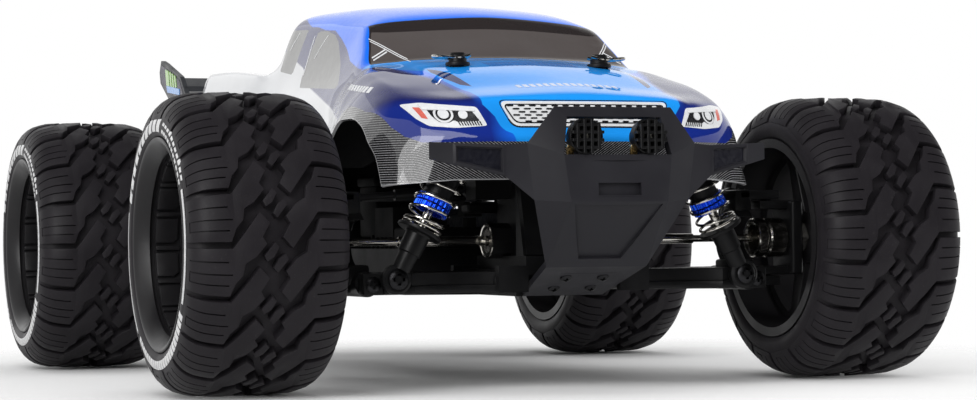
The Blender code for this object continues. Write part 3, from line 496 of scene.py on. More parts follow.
def plate(outline: Outline, low: float, high: float, across: Across = Across.Z, bevel: float = 0.0,
          segments: int = 2) -> Piece:
    """A flat outline given thickness.

    Args:
        outline: Corners of the outline in the two other axes, in order.
        low: Lower face along the thickness axis.
        high: Upper face.
        across: The thickness axis.
        bevel: Width of its edge rounding.
        segments: Faces across the rounding.

    Returns:
        The new piece.
    """
    piece = face([(a, b, low) for a, b in outline])
    edit(piece)
    bpy.ops.mesh.extrude_region_move(TRANSFORM_OT_translate={"value": (0.0, 0.0, high - low)})
    close()
    return round_edges(moved(piece, across.frame), bevel, segments)


def tube(points: Outline, radius: float, smooth: bool = True) -> Piece:
    """A wire that follows points.

    Args:
        points: The points on its middle line.
        radius: Its radius.
        smooth: Whether it curves through the points.

    Returns:
        The new piece.
    """
    piece = line(points, radius=radius, sides=10, smooth=smooth)
    edit(piece)
    close(WELD)
    return piece


def moved(piece: Piece, matrix: Matrix) -> Piece:
    """Move a piece's points, and keep its faces outward when the matrix mirrors it.

    Args:
        piece: The piece to move.
        matrix: The move.

    Returns:
        The same piece.
    """
    piece.data.transform(matrix)
    if matrix.determinant() < 0.0:
        piece.data.flip_normals()
    piece.data.update()
    return piece


def warp(piece: Piece, rule: Callable[[np.ndarray], np.ndarray]) -> Piece:
    """Move all points of a piece by a rule.

    Args:
        piece: The piece to shape.
        rule: From an array of points to their new places.

    Returns:
        The same piece.
    """
    points = np.array([vertex.co for vertex in piece.data.vertices])
    piece.data.vertices.foreach_set("co", rule(points).ravel())
    piece.data.update()
    return piece


def copy(piece: Piece, matrix: Matrix = HERE) -> Piece:
    """A copy with its own mesh, moved if asked.

    Args:
        piece: The piece to copy.
        matrix: Where the copy goes.

    Returns:
        The copy.
    """
    pick(piece)
    bpy.ops.object.duplicate(linked=False)
    return moved(bpy.context.object, matrix)


def join(first: Piece, *others: Piece) -> Piece:
    """Join pieces into the first one.

    Args:
        first: The piece that stays.
        others: The pieces that go into it.

    Returns:
        The joined piece.
    """
    if others:
        pick(first, *others)
        bpy.ops.object.join()
    return first


def cut(piece: Piece, *cutters: Piece) -> Piece:
    """Take cutters out of a piece.

    Args:
        piece: The piece to cut.
        cutters: Closed shapes, used up by the cut.

    Returns:
        The same piece.
    """
    for cutter in cutters:
        apply(piece, "BOOLEAN", operation="DIFFERENCE", object=cutter, solver="EXACT")
        bpy.data.objects.remove(cutter)
    return piece


def split(piece: Piece, axis: int, places: Numbers) -> Piece:
    """Cut edges into a piece where planes cross it.

    Args:
        piece: The piece to divide.
        axis: Index of the axis that the planes stand on.
        places: Their places along it.

    Returns:
        The same piece.
    """
    normal = Vector([float(index == axis) for index in range(3)])
    edit(piece)
    for place in places:
        bpy.ops.mesh.select_all(action="SELECT")
        bpy.ops.mesh.bisect(plane_co=normal * place, plane_no=normal, use_fill=False)
    done()
    return piece


def ring(piece: Piece, count: int) -> Piece:
    """Repeat a piece round the X axis, and join the copies."""
    turns = [Matrix.Rotation(turn, 4, "X") for turn in evenly(0.0, math.tau, count)]
    return join(piece, *[copy(piece, turn) for turn in turns])


def screw(place: Point, direction: Point, radius: float, height: float) -> Piece:
    """A pan-head screw with a cross recess.

    Args:
        place: Where its head sits on the surface.
        direction: Out of the surface.
        radius: Radius of the head.
        height: Height of the head.

    Returns:
        The new piece.
    """
    profile = [(-0.6, 0.0), (-0.6, radius * 0.9), (0.0, radius), (height * 0.45, radius * 0.98),
               (height * 0.8, radius * 0.8), (height, radius * 0.42), (height, 0.0)]
    head = turned(profile, ORIGIN, UP, 24)
    reach, half = radius * 0.56, radius * 0.16
    cut(head, *[block((-x, -y, -0.4), (x, y, height + 1.0)) for x, y in ((reach, half), (half, reach))])
    return moved(head, aimed(place, direction))


class Recipe:
    """A procedural material while its nodes are put together."""

    def __init__(self, name: str) -> None:
        """Start a Principled material of this name.

        Args:
            name: Its name.
        """
        self.material = bpy.data.materials.new(name)
        self.material.use_nodes = True
        self.tree = self.material.node_tree
        self.shader = self.tree.nodes["Principled BSDF"]

    def add(self, kind: str, inputs: dict[str | int, object] | None = None, **settings: object) -> Node:
        """Add a node.

        Args:
            kind: The node's type.
            inputs: What its inputs are fed with.
            settings: Its properties.

        Returns:
            The node.
        """
        node = self.tree.nodes.new(f"ShaderNode{kind}")
        for key, value in settings.items():
            setattr(node, key, value)
        for key, value in (inputs or {}).items():
            self.feed(node.inputs[key], value)
        return node

    def feed(self, target: Socket, value: object) -> None:
        """Link a socket to an input, or set a constant on it.

        Args:
            target: The input.
            value: An output socket, a number or a colour.
        """
        if isinstance(value, Socket):
            self.tree.links.new(value, target)
        elif isinstance(value, tuple) and len(value) == 3 and target.type == "RGBA":
            target.default_value = (*value, 1.0)
        else:
            target.default_value = value

    def put(self, **inputs: object) -> None:
        """Feed inputs of the shader, named with underscores for spaces."""
        for key, value in inputs.items():
            self.feed(self.shader.inputs[key.replace("_", " ")], value)

    def place(self, scale: Point = (1.0, 1.0, 1.0)) -> Socket:
        """Object coordinates in millimetres, stretched on each axis."""
        inputs = {"Vector": self.add("TexCoord").outputs["Object"], "Scale": [value / MM for value in scale]}
        return self.add("Mapping", inputs).outputs["Vector"]

    def noise(self, size: float, detail: float = 3.0) -> Socket:
        """Noise from 0 to 1, with features of a size in millimetres."""
        return self.add("TexNoise", {"Vector": self.place(), "Scale": 1.0 / size,
                                     "Detail": detail}).outputs[0]

    def span(self, value: object, low: float, high: float, start: float = 0.0, end: float = 1.0) -> Socket:
        """Map a value between start and end to low and high, and hold it there."""
        inputs = {"Value": value, "From Min": start, "From Max": end, "To Min": low, "To Max": high}
        return self.add("MapRange", inputs, clamp=True).outputs["Result"]

    def sum(self, operation: str, first: object, second: object = 0.0) -> Socket:
        """What a math node's operation makes of two values."""
        return self.add("Math", {0: first, 1: second}, operation=operation).outputs[0]

    def mix(self, share: object, first: object, second: object) -> Socket:
        """A mix of two colours, with the share of the second."""
        return self.add("Mix", {0: share, 6: first, 7: second}, data_type="RGBA").outputs[2]

    def attribute(self, name: str) -> Socket:
        """A mesh attribute's value."""
        return self.add("Attribute", attribute_name=name).outputs["Fac"]

    def bump(self, height: object, depth: float) -> None:
        """Press a height pattern from 0 to 1 into the surface, to a depth in millimetres."""
        self.put(Normal=self.add("Bump", {"Distance": depth * MM, "Height": height}).outputs["Normal"])


class Slot(Enum):
    """Material slot names that the finishes carry."""

    RUBBER = "tyre_rubber"
    PLASTIC = "black_plastic"
    STEEL = "nickel_steel"
    ANODISED = "blue_anodised"
    SHELL = "blue_polycarbonate"


@dataclass(frozen=True)
class Moulded:
    """Moulded plastic or rubber: fine grain, a little cloudiness, and dust in patches."""

    name: str
    colour: Colour
    dust: Colour
    roughness: float
    spread: float
    grain: float
    depth: float
    specular: float
    specks: float = 0.0
    slot: Slot = Slot.PLASTIC
    patch: float = 14.0
    speck: float = 0.7
    speck_colour: Colour = (0.3, 0.29, 0.28)

    def make(self) -> Material:
        """Put the material together.

        Returns:
            The material.
        """
        recipe = Recipe(self.name)
        cloud = recipe.noise(self.patch)
        base = recipe.mix(recipe.span(cloud, 0.0, 0.55, 0.45, 0.75), self.colour, self.dust)
        if self.specks > 0.0:
            dots = recipe.span(recipe.noise(self.speck, 1.0), 0.0, self.specks, 0.68, 0.78)
            base = recipe.mix(dots, base, self.speck_colour)
        low, high = self.roughness - self.spread, self.roughness + self.spread
        recipe.put(Base_Color=base, Roughness=recipe.span(cloud, low, high, 0.3, 0.7),
                   Specular_IOR_Level=self.specular)
        recipe.bump(recipe.noise(self.grain, 2.0), self.depth)
        return recipe.material


@dataclass(frozen=True)
class Metal:
    """Plated or anodised metal with turning marks and faint stains."""

    name: str
    colour: Colour
    stain: Colour
    roughness: float
    metallic: float = 1.0
    slot: Slot = Slot.STEEL
    patch: float = 5.0
    marks: float = 0.5
    depth: float = 0.006

    def make(self) -> Material:
        """Put the material together.

        Returns:
            The material.
        """
        recipe = Recipe(self.name)
        stains = recipe.span(recipe.noise(self.patch), 0.0, 0.7, 0.4, 0.75)
        fine = recipe.noise(self.marks, 2.0)
        gloss = recipe.span(fine, self.roughness * 0.7, self.roughness * 1.5, 0.3, 0.7)
        recipe.put(Base_Color=recipe.mix(stains, self.colour, self.stain), Metallic=self.metallic,
                   Roughness=gloss)
        recipe.bump(fine, self.depth)
        return recipe.material


@dataclass(frozen=True)
class Print:
    """Ink or film with slight mottling and a gloss coat."""

    name: str
    colour: Colour
    shade: Colour
    roughness: float = 0.25
    coat: float = 0.3
    slot: Slot = Slot.SHELL
    patch: float = 1.6
    grain: float = 0.5
    depth: float = 0.004

    def make(self) -> Material:
        """Put the material together.

        Returns:
            The material.
        """
        recipe = Recipe(self.name)
        cloud = recipe.noise(self.patch)
        gloss = recipe.span(cloud, self.roughness * 0.8, self.roughness * 1.3, 0.3, 0.7)
        recipe.put(Base_Color=recipe.mix(recipe.span(cloud, 0.0, 1.0, 0.35, 0.7), self.colour, self.shade),
                   Roughness=gloss, Coat_Weight=self.coat)
        recipe.bump(recipe.noise(self.grain, 1.0), self.depth)
        return recipe.material


@dataclass(frozen=True)
class ShellPaint:
    """Clear polycarbonate painted from inside: colour fields, windows and the carbon-look skirt."""

    name: str
    slot: Slot = Slot.SHELL
    cab: Colour = (0.008, 0.17, 0.93)
    azure: Colour = (0.01, 0.3, 0.88)
    vent: Colour = (0.004, 0.1, 0.45)
    navy: Colour = (0.006, 0.01, 0.105)
    nose: Colour = (0.006, 0.022, 0.23)
    white: Colour = (0.66, 0.67, 0.69)
    carbon: Colour = (0.004, 0.004, 0.005)
    thread: Colour = (0.31, 0.31, 0.32)
    glass: Colour = (0.082, 0.07, 0.067)
    smoke: Colour = (0.095, 0.083, 0.08)
    band: Colour = (0.026, 0.021, 0.021)
    pane: Colour = (0.16, 0.16, 0.155)
    edge: float = 0.12
    pitch: float = 0.95
    vents: Point = (0.9, 0.9, 0.0)

    def make(self) -> Material:
        """Put the material together.

        Returns:
            The material.
        """
        recipe = Recipe(self.name)
        cloud = recipe.noise(22.0, 2.0)
        mesh = recipe.add("TexChecker", {"Vector": recipe.place(self.vents), "Scale": 1.0,
                                         "Color1": self.azure, "Color2": self.vent})
        turns = recipe.sum("MULTIPLY", recipe.attribute("grain"), math.tau / self.pitch)
        lines = recipe.span(recipe.sum("SINE", turns), 0.0, 1.0, 0.25, 0.85)
        worn = recipe.span(recipe.noise(0.5, 1.0), 0.45, 1.0, 0.3, 0.6)
        twill = recipe.mix(recipe.sum("MULTIPLY", lines, worn), self.carbon, self.thread)
        tint = recipe.mix(recipe.span(cloud, 0.0, 1.0, 0.3, 0.7), self.glass, self.smoke)
        crisp = self.edge
        layers = (("fender", 3.0, self.navy), ("nose", 4.0, self.nose), ("door", 0.3, self.navy),
                  ("hood", crisp, self.azure), ("streak", crisp, self.navy),
                  ("scoop", crisp, mesh.outputs["Color"]), ("bed", 0.4, self.white), ("skirt", crisp, twill),
                  ("rim", crisp, self.thread), ("pane", crisp, self.pane), ("band", crisp, self.band),
                  ("glass", crisp, tint))
        colour = self.cab
        for name, soft, paint in layers:
            colour = recipe.mix(recipe.span(recipe.attribute(name), 0.0, 1.0, -soft, soft), colour, paint)
        dull = recipe.mix(recipe.span(cloud, 0.0, 0.06, 0.35, 0.75), colour, (0.0, 0.0, 0.0))
        recipe.put(Base_Color=dull, Roughness=recipe.span(recipe.noise(3.0, 2.0), 0.5, 0.7, 0.3, 0.7),
                   Specular_IOR_Level=0.05, Coat_Weight=1.0, Coat_IOR=1.5, Coat_Roughness=0.03)
        recipe.bump(recipe.noise(40.0, 0.0), 0.05)
        return recipe.material


class Finish(Enum):
    """Every finish on the truck."""

    TYRE = Moulded("tyre_rubber", (0.0158, 0.0141, 0.0165), (0.0232, 0.0207, 0.024), 0.48, 0.1, 0.5, 0.04,
                   0.12, 0.05, Slot.RUBBER)
    BLACK = Moulded("black_nylon", (0.0065, 0.0065, 0.007), (0.012, 0.012, 0.013), 0.42, 0.1, 0.3, 0.02,
                    0.16)
    RIM = Moulded("rim_satin", (0.014, 0.0133, 0.0146), (0.021, 0.0203, 0.0216), 0.36, 0.08, 0.4, 0.012, 0.2)
    BUMPER = Moulded("bumper_plastic", (0.019, 0.0185, 0.0225), (0.026, 0.0255, 0.03), 0.5, 0.1, 0.28,
                     0.035, 0.16)
    # A darker copy of black_nylon: matte, and darker still as painted shade for the parts deep under the
    # body.
    DULL = Moulded("dull_nylon_shaded", (0.003, 0.003, 0.0032), (0.006, 0.006, 0.0062), 0.75, 0.1, 0.12, 0.02, 0.16)
    WING = Moulded("wing_plastic", (0.03, 0.032, 0.036), (0.045, 0.047, 0.052), 0.45, 0.1, 0.3, 0.02, 0.2)
    NICKEL = Metal("nickel_plate", (0.66, 0.64, 0.6), (0.46, 0.43, 0.38), 0.17)
    STEEL = Metal("screw_steel", (0.03, 0.03, 0.032), (0.015, 0.015, 0.016), 0.35)
    BLUE = Metal("blue_anodised", (0.012, 0.1, 0.9), (0.008, 0.06, 0.6), 0.22, 0.85, Slot.ANODISED)
    CAN = Metal("motor_can", (0.02, 0.02, 0.021), (0.012, 0.012, 0.013), 0.4)
    BRASS = Metal("brass", (0.72, 0.5, 0.2), (0.5, 0.33, 0.12), 0.25)
    PLATE = Print("plate_film", (0.1, 0.095, 0.12), (0.13, 0.125, 0.15), 0.5, 0.0, Slot.PLASTIC)
    # Darker than the bumper plate: painted shade for its sunk panels, on a real gloss finish.
    GLOSS = Print("inlay_gloss_shade", (0.008, 0.008, 0.013), (0.011, 0.011, 0.017), 0.2, 0.4, Slot.PLASTIC)
    GREEN = Print("green_film", (0.28, 0.55, 0.08), (0.2, 0.45, 0.06), slot=Slot.PLASTIC)
    AZURE = Print("azure_film", (0.03, 0.3, 0.8), (0.02, 0.24, 0.7), slot=Slot.PLASTIC)
    LED = Print("lamp_lens", (0.8, 0.78, 0.7), (0.55, 0.52, 0.42), 0.1, slot=Slot.STEEL)
    WHITE_INK = Print("white_ink", (0.8, 0.8, 0.8), (0.66, 0.66, 0.67), 0.5, 0.0, Slot.RUBBER)
    CELL = Print("battery_sleeve", (0.004, 0.007, 0.02), (0.006, 0.01, 0.028), 0.7, 0.0, Slot.PLASTIC)
    SILVER = Print("silver_film", (0.55, 0.62, 0.78), (0.45, 0.53, 0.7))
    WHITE_FILM = Print("white_film", (0.8, 0.81, 0.82), (0.7, 0.71, 0.73))
    DARK_FILM = Print("dark_film", (0.012, 0.012, 0.014), (0.02, 0.02, 0.023))
    AMBER = Print("amber_film", (0.72, 0.16, 0.12), (0.6, 0.1, 0.07))
    INSIDE = Print("inside_paint", (0.012, 0.012, 0.014), (0.018, 0.018, 0.02), 0.6, 0.0)
    SHELL = ShellPaint("body_paint")

    @cache
    def material(self) -> Material:
        """The material, made once."""
        return self.value.make()


def fit(piece: Piece, name: str, finish: Finish, *nodes: str, body: str | None = "chassis",
        place: Matrix = HERE, smooth: float = SMOOTH) -> Piece:
    """Bring a modelled piece onto the truck.

    Args:
        piece: The piece, in millimetres.
        name: Its name.
        finish: Its finish.
        nodes: CAD nodes that it stands for.
        body: The body that it rides on, or None to leave it unattached.
        place: Its own frame to truck frame.
        smooth: Angle in degrees below which its faces shade as one.

    Returns:
        The fitted piece.
    """
    moved(piece, Matrix.Diagonal((MM, MM, MM, 1.0)) @ place)
    pick(piece)
    bpy.ops.object.shade_smooth_by_angle(angle=math.radians(smooth))
    piece.name = name
    piece.data.name = name
    if not piece.data.materials:
        piece.data.materials.append(finish.material())
    if body is not None:
        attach(piece, body)
    if nodes:
        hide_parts(*nodes)
    LOG.info("piece %s on %s", name, body or "two bodies")
    return piece


def fit_corners(piece: Piece, name: str, finish: Finish, *nodes: str, body: str | None, wheel: bool = False,
                ends: Sequence[End] = tuple(End), smooth: float = SMOOTH) -> dict[Corner, Piece]:
    """Fit a copy of a piece to each corner, and use the piece up.

    Args:
        piece: The piece, in a corner's frame.
        name: Its name, which gets the corner's tag or its side, as do the next two.
        finish: Its finish.
        nodes: CAD nodes that it stands for.
        body: The body that it rides on, or None to leave it unattached.
        wheel: Whether it is in the wheel's frame instead.
        ends: Axles that have it.
        smooth: Angle in degrees below which its faces shade as one.

    Returns:
        The fitted copies.
    """
    fitted = {}
    for corner in [each for each in CORNERS if each.end in ends]:
        here, *stands_for = [text.format(tag=corner.tag, side=corner.side.value) for text in (name, *nodes)]
        rides_on = body.format(tag=corner.tag, side=corner.side.value) if body is not None else None
        fitted[corner] = fit(copy(piece), here, finish, *stands_for, body=rides_on,
                             place=corner.wheel if wheel else corner.matrix, smooth=smooth)
    bpy.data.objects.remove(piece)
    return fitted


@dataclass
class Tyre:
    """A lugged tyre: carcass, chunky tread and the printed ring on its outer side."""

    section: Outline = (
        (0.0, 56.4), (8.0, 56.3), (15.0, 56.0), (21.0, 55.5), (25.5, 54.6), (28.6, 52.9), (30.8, 50.2),
        (31.9, 47.2), (31.9, 44.6), (30.9, 42.6), (29.3, 41.6))
    bead: Point = (29.0, 41.3)
    pitches: int = 18
    lug: float = 3.6
    leaf: float = 3.3
    foot: float = -0.7
    bevel: float = 0.22
    groove: float = 1.0
    slit: float = 0.55
    roll: float = 58.0
    shoulder: float = 33.6
    fade_at: Numbers = (0.0, 19.0, 25.0, 29.0, 33.6)
    fade: Numbers = (1.0, 1.0, 0.78, 0.45, 0.12)
    bends: Numbers = (12.0, 15.5, 19.0, 22.0, 24.5, 26.5, 28.5, 30.5, 32.2)
    ring_radius: float = 47.2
    ink: float = 0.16
    arcs: Outline = ((64.0, 118.0), (222.0, 286.0))
    dashes: Sequence[Numbers] = (
        (10, -68.0, 8.0, 5.4, -2.9, 2.3, 1.2), (11, 15.0, 4.2, 2.8, 0.6, 2.4, 0.5),
        (11, 15.0, 4.2, 2.8, -2.4, -1.0, 0.5), (23, 123.0, 4.1, 3.0, -1.9, 1.5, 0.6))
    samples: int = 240
    path: np.ndarray = field(init=False)
    length: np.ndarray = field(init=False)

    def __post_init__(self) -> None:
        """Sample the section as one smooth line by its length."""
        knots = np.array(self.section)
        slopes = np.gradient(knots, axis=0)
        slopes[0, 1] = 0.0
        self.path = curved(knots, slopes, np.linspace(0.0, len(knots) - 1.0, self.samples))
        self.length = np.concatenate(([0.0], np.cumsum(np.hypot(*np.diff(self.path, axis=0).T))))

    @property
    def pitch(self) -> float:
        """Length of one tread pitch."""
        return math.tau * self.roll / self.pitches

    def wrap(self, points: np.ndarray) -> np.ndarray:
        """Lay flat points on the carcass.

        Args:
            points: Rows of (across, along, height) in millimetres.

        Returns:
            Their places on the tyre.
        """
        across, along, height = points.T
        slope = np.gradient(self.path, self.length, axis=0)
        at = [np.interp(np.abs(across), self.length, column) for column in (*self.path.T, *slope.T)]
        wide = at[0] - at[3] * height
        radius = at[1] + at[2] * height
        angle = along / self.roll
        return np.stack((np.sign(across) * wide, radius * np.sin(angle), radius * np.cos(angle)), axis=1)

    def taper(self, points: np.ndarray) -> np.ndarray:
        """Lay flat lugs on the carcass, lower towards the shoulder.

        Args:
            points: Rows of (across, along, height) in millimetres.

        Returns:
            Their places on the tyre.
        """
        fade = np.interp(np.abs(points[:, 0]), self.fade_at, self.fade)
        height = np.where(points[:, 2] > 0.0, points[:, 2] * fade, points[:, 2])
        return self.wrap(np.column_stack((points[:, :2], height)))

    def flat(self, outline: Outline, high: float, other: bool, grooves: Sequence[Outline] = ()) -> Piece:
        """One flat tread lug, before it is wrapped.

        Args:
            outline: Its corners as (across, along in twentieths of a pitch).
            high: Its top.
            other: Whether it belongs to the other shoulder, half a pitch on.
            grooves: Outlines of grooves in its top.

        Returns:
            The lug.
        """
        step = self.pitch / 20.0

        def put(corners: Outline) -> Outline:
            """Corners in millimetres, on the lug's own shoulder."""
            ahead = [(-a, b * step) for a, b in reversed(corners)]
            return [(-a, 1.5 * self.pitch - b) for a, b in ahead] if other else ahead

        lug = plate(put(outline), self.foot, high, bevel=self.bevel)
        return cut(lug, *[plate(put(groove), high - self.groove, high + 1.0) for groove in grooves])

    def tread(self) -> Piece:
        """The tread: grooved shoulder blocks, and angular lugs in two staggered rows down the middle.

        Returns:
            All lugs of the tyre, wrapped.
        """
        end, wide = self.shoulder, self.slit
        stop = end - 1.6
        shoulder = [(17.0, 0.8), (end, 0.8), (end, 18.4), (16.4, 18.4), (6.2, 31.6), (2.4, 27.6),
                    (5.4, 22.6), (3.8, 20.0), (7.8, 15.4), (11.8, 13.0), (12.6, 8.6), (15.2, 5.6)]
        hoop = [(17.6, 4.6), (stop, 4.6), (stop, 8.6 + wide), (16.4, 8.6 + wide), (16.4, 8.6),
                (stop - wide, 8.6), (stop - wide, 4.6 + wide), (17.6, 4.6 + wide)]
        slit = [(18.0, 13.2), (stop, 13.2), (stop, 13.2 + wide), (18.0, 13.2 + wide)]
        leaf = [(1.0, 15.2), (3.6, 13.6), (4.6, 15.8), (0.6, 20.6), (-1.0, 18.8)]
        lugs = [self.flat(shoulder, self.lug, other, (hoop, slit)) for other in (False, True)]
        lugs += [self.flat(leaf, self.leaf, other) for other in (False, True)]
        cell = join(*lugs)
        split(cell, 0, [sign * at for at in self.bends for sign in (-1, 1)])
        return ring(warp(cell, self.taper), self.pitches)

    def carcass(self) -> Piece:
        """The tyre's body under its tread.

        Returns:
            The new piece.
        """
        half = [*self.path[::8], self.bead]
        profile = [(-x, r) for x, r in reversed(half[1:])] + half
        return turned(profile, ORIGIN, OUTWARD, 96, closed=True)

    def at_radius(self, radius: float) -> float:
        """Length along the section, on the outer side, where the sidewall has a radius."""
        lower = self.path[:, 1] < 56.0
        return float(np.interp(-radius, -self.path[lower, 1], self.length[lower]))

    def mark(self, start: float, end: float, low: float, high: float, lean: float = 0.0) -> Piece:
        """A printed patch on the outer sidewall.

        Args:
            start: Angle where it starts, in degrees from the top.
            end: Angle where it ends.
            low: How far its inner edge is from the ring's radius.
            high: How far its outer edge is.
            lean: How far its outer edge is ahead, in degrees.

        Returns:
            The patch.
        """
        turn = math.radians(1.0) * self.roll
        outer, inner = self.at_radius(self.ring_radius + high), self.at_radius(self.ring_radius + low)
        corners = [(outer, (start + lean) * turn), (inner, start * turn), (inner, end * turn),
                   (outer, (end + lean) * turn)]
        patch = plate(corners, -0.25, self.ink)
        split(patch, 1, [angle * turn for angle in evenly(start, end, int((end - start) / 3.0) + 1)])
        split(patch, 0, evenly(outer, inner, int((inner - outer) / 0.8) + 1))
        return warp(patch, self.wrap)

    def prints(self) -> Piece:
        """The ring of plain arcs and dashes on the outer sidewall.

        Returns:
            The new piece.
        """
        marks = [self.mark(start, end, -0.6, 0.6) for start, end in self.arcs]
        for count, start, step, size, low, high, lean in self.dashes:
            marks += [self.mark(start + step * i, start + size + step * i, low, high, lean)
                      for i in range(count)]
        return join(*marks)

    def build(self) -> None:
        """Make the tyre once and fit it to each wheel."""
        tyre = join(self.carcass(), self.tread())
        fit_corners(tyre, "tyre_look_{tag}", Finish.TYRE, "tyre_{tag}", body="wheel_{tag}", wheel=True,
                    smooth=28.0)
        fit_corners(self.prints(), "tyre_ring_{tag}", Finish.WHITE_INK, body="wheel_{tag}", wheel=True)


@dataclass
class Rim:
    """A deep rim: flared lip, banded barrel, and a spoked disc near its inner side."""

    seat: float = 40.4
    flange: float = 42.2
    half: float = 31.5
    wall: float = 38.4
    band_radius: float = 36.2
    disc_low: float = -15.4
    disc_high: float = -10.4
    hub: float = 11.0
    bore: float = 3.0
    spokes: int = 5
    bricks: int = 16
    brick: float = 1.3

    def barrel(self) -> Piece:
        """The turned barrel: rolled lip, dark undercut, banded wall and bead flanges.

        Returns:
            The new piece.
        """
        half, flange, wall, band = self.half, self.flange, self.wall, self.band_radius
        profile = [(30.5, flange), (31.2, 42.1), (half, 41.6), (31.4, 41.0), (30.9, 40.2), (29.6, 39.0),
                   (28.4, 37.9), (27.2, 37.0), (26.2, 36.3), (25.8, 36.1), (25.5, 36.4), (25.4, 37.6),
                   (23.9, 37.6), (23.7, band), (13.2, band), (12.9, 35.4), (9.4, 35.4), (9.0, wall),
                   (-half, wall), (-half, flange), (1.1 - half, flange), (1.3 - half, self.seat),
                   (30.2, self.seat)]
        return turned(profile, ORIGIN, OUTWARD, 96, closed=True)

    def band(self) -> Piece:
        """Raised pads and ribs round the inside of the barrel.

        Returns:
            The new piece.
        """
        pitch = math.tau * self.band_radius / self.bricks
        pad = [(23.4, 0.8), (23.4, pitch - 3.4), (14.4, pitch - 3.4), (14.4, 2.6), (16.4, 0.8)]
        rib = [(23.4, pitch - 2.3), (23.4, pitch - 0.5), (13.6, pitch - 0.5), (13.6, pitch - 2.3)]
        bricks = join(*[plate(shape, -0.4, self.brick, bevel=0.35) for shape in (pad, rib)])
        split(bricks, 1, evenly(0.0, pitch, 8))

        def curl(points: np.ndarray) -> np.ndarray:
            """Flat points, wrapped round the inside of the barrel."""
            radius, angle = self.band_radius - points[:, 2], points[:, 1] / self.band_radius
            return np.stack((points[:, 0], radius * np.sin(angle), radius * np.cos(angle)), axis=1)

        return ring(warp(bricks, curl), self.bricks)

    def spider(self) -> Piece:
        """Hub, spokes and the ring that carries them.

        Returns:
            The new piece.
        """
        low, high, inside, hub = self.disc_low, self.disc_high, self.wall, self.hub
        rim = [(low, inside + 0.5), (high, inside + 0.5), (high - 0.6, inside - 2.6),
               (low + 0.6, inside - 2.6)]
        core = [(low, self.bore), (low, hub), (high - 0.4, hub), (high, hub - 0.6), (high, 7.4),
                (high - 1.6, 6.8), (high - 1.6, self.bore)]
        rings = [turned(profile, ORIGIN, OUTWARD, steps, True) for profile, steps in ((rim, 96), (core, 60))]
        outline = [(hub - 1.5, -4.4), (inside - 6.0, -3.0), (inside - 1.0, -4.6), (inside - 1.0, 4.6),
                   (inside - 6.0, 3.0), (hub - 1.5, 4.4)]
        spoke = plate(outline, low + 0.3, high - 0.2, Across.X, 0.9, 3)
        return join(*rings, ring(spoke, self.spokes))

    def build(self) -> None:
        """Make the rim once and fit it to each wheel."""
        rim = join(self.barrel(), self.band(), self.spider())
        fit_corners(rim, "rim_look_{tag}", Finish.RIM, "rim_{tag}", body="wheel_{tag}", wheel=True)


@dataclass
class Axle:
    """Drive cup with its slots, wheel hex, lock nut, and the half shaft with its cross pins."""

    z: float = 60.0
    cup_mouth: float = 93.5
    cup_floor: float = 106.6
    cup_back: float = 107.6
    cup: float = 8.35
    bore: float = 5.9
    shank: float = 2.9
    thread: float = 2.4
    hex_inset: float = 15.8
    ball: float = 2.6
    inner_ball: float = 22.6
    outer_ball: float = 99.5
    washer: Outline = (
        (26.7, 2.2), (26.7, 6.8), (26.9, 7.0), (27.4, 7.0), (27.6, 6.7), (27.4, 6.1), (27.0, 5.9),
        (27.0, 2.2))

    def turned(self, profile: Outline, steps: int, closed: bool = False) -> Piece:
        """A form turned round the axle."""
        return turned(profile, (0.0, 0.0, self.z), OUTWARD, steps, closed)

    def stub(self, wheel_x: float) -> Piece:
        """The stub axle.

        Args:
            wheel_x: Middle of the wheel.

        Returns:
            The piece in the corner frame.
        """
        mouth, floor, back, cup, bore = self.cup_mouth, self.cup_floor, self.cup_back, self.cup, self.bore
        end, thread = wheel_x - self.hex_inset, self.thread
        profile = [(floor, 0.0), (floor, bore - 0.6), (floor - 0.8, bore), (mouth + 2.4, bore),
                   (mouth + 2.2, 5.6), (mouth + 1.4, 5.6), (mouth + 1.2, bore + 0.4), (mouth, bore + 0.9),
                   (mouth, cup - 0.5), (mouth + 0.5, cup), (97.4, cup), (98.0, cup - 0.5),
                   (99.0, cup - 0.5), (99.6, cup), (back - 1.0, cup), (back, cup - 1.0), (back, self.shank),
                   (end + 1.0, self.shank), (end + 1.0, thread), (end + 10.5, thread),
                   (end + 11.0, thread - 0.5), (end + 11.0, 0.0)]
        drive = [(end - 3.6, 0.0), (end - 3.6, 6.5), (end - 3.2, 6.9), (end - 0.4, 6.9), (end, 6.5),
                 (end, 0.0)]
        nut = [(end + 5.6, thread), (end + 5.6, 5.2), (end + 6.2, 5.4), (end + 6.4, 4.3), (end + 9.4, 4.3),
               (end + 10.0, 3.8), (end + 10.0, thread)]
        return join(self.turned(profile, 56), self.turned(drive, 6), self.turned(nut, 6, closed=True))

    def shaft(self) -> Piece:
        """The half shaft: bar, balls, drive pins and seal washer.

        Returns:
            The new piece.
        """
        a, b, ball = self.inner_ball, self.outer_ball, self.ball
        arc = [(ball * math.cos(turn), ball * math.sin(turn)) for turn in np.linspace(0.3, 2.4, 9)]
        profile = [(a - ball, 0.0), *[(a - along, radius) for along, radius in arc], (a + 5.0, 1.5),
                   (a + 6.0, 2.1), (b - 34.0, 2.1), (b - 33.4, 1.5), (b - 5.0, 1.5),
                   *[(b + along, radius) for along, radius in reversed(arc)], (b + ball, 0.0)]
        pins = [rod((at, 0, self.z - reach), (at, 0, self.z + reach), 1.0, 16)
                for at, reach in ((a, 4.4), (b, 3.0))]
        return join(self.turned(profile, 40), self.turned(self.washer, 40, closed=True), *pins)

    def build(self) -> None:
        """Make the axle pieces and fit them to each corner."""
        for end in End:
            fit_corners(self.stub(end.wheel_x), "stub_axle_look_{tag}", Finish.NICKEL, "stub_axle_{tag}",
                        body="wheel_{tag}", ends=(end,))
        fit_corners(self.shaft(), "half_shaft_look_{tag}", Finish.NICKEL, "half_shaft_{tag}",
                    body="shaft_{tag}")


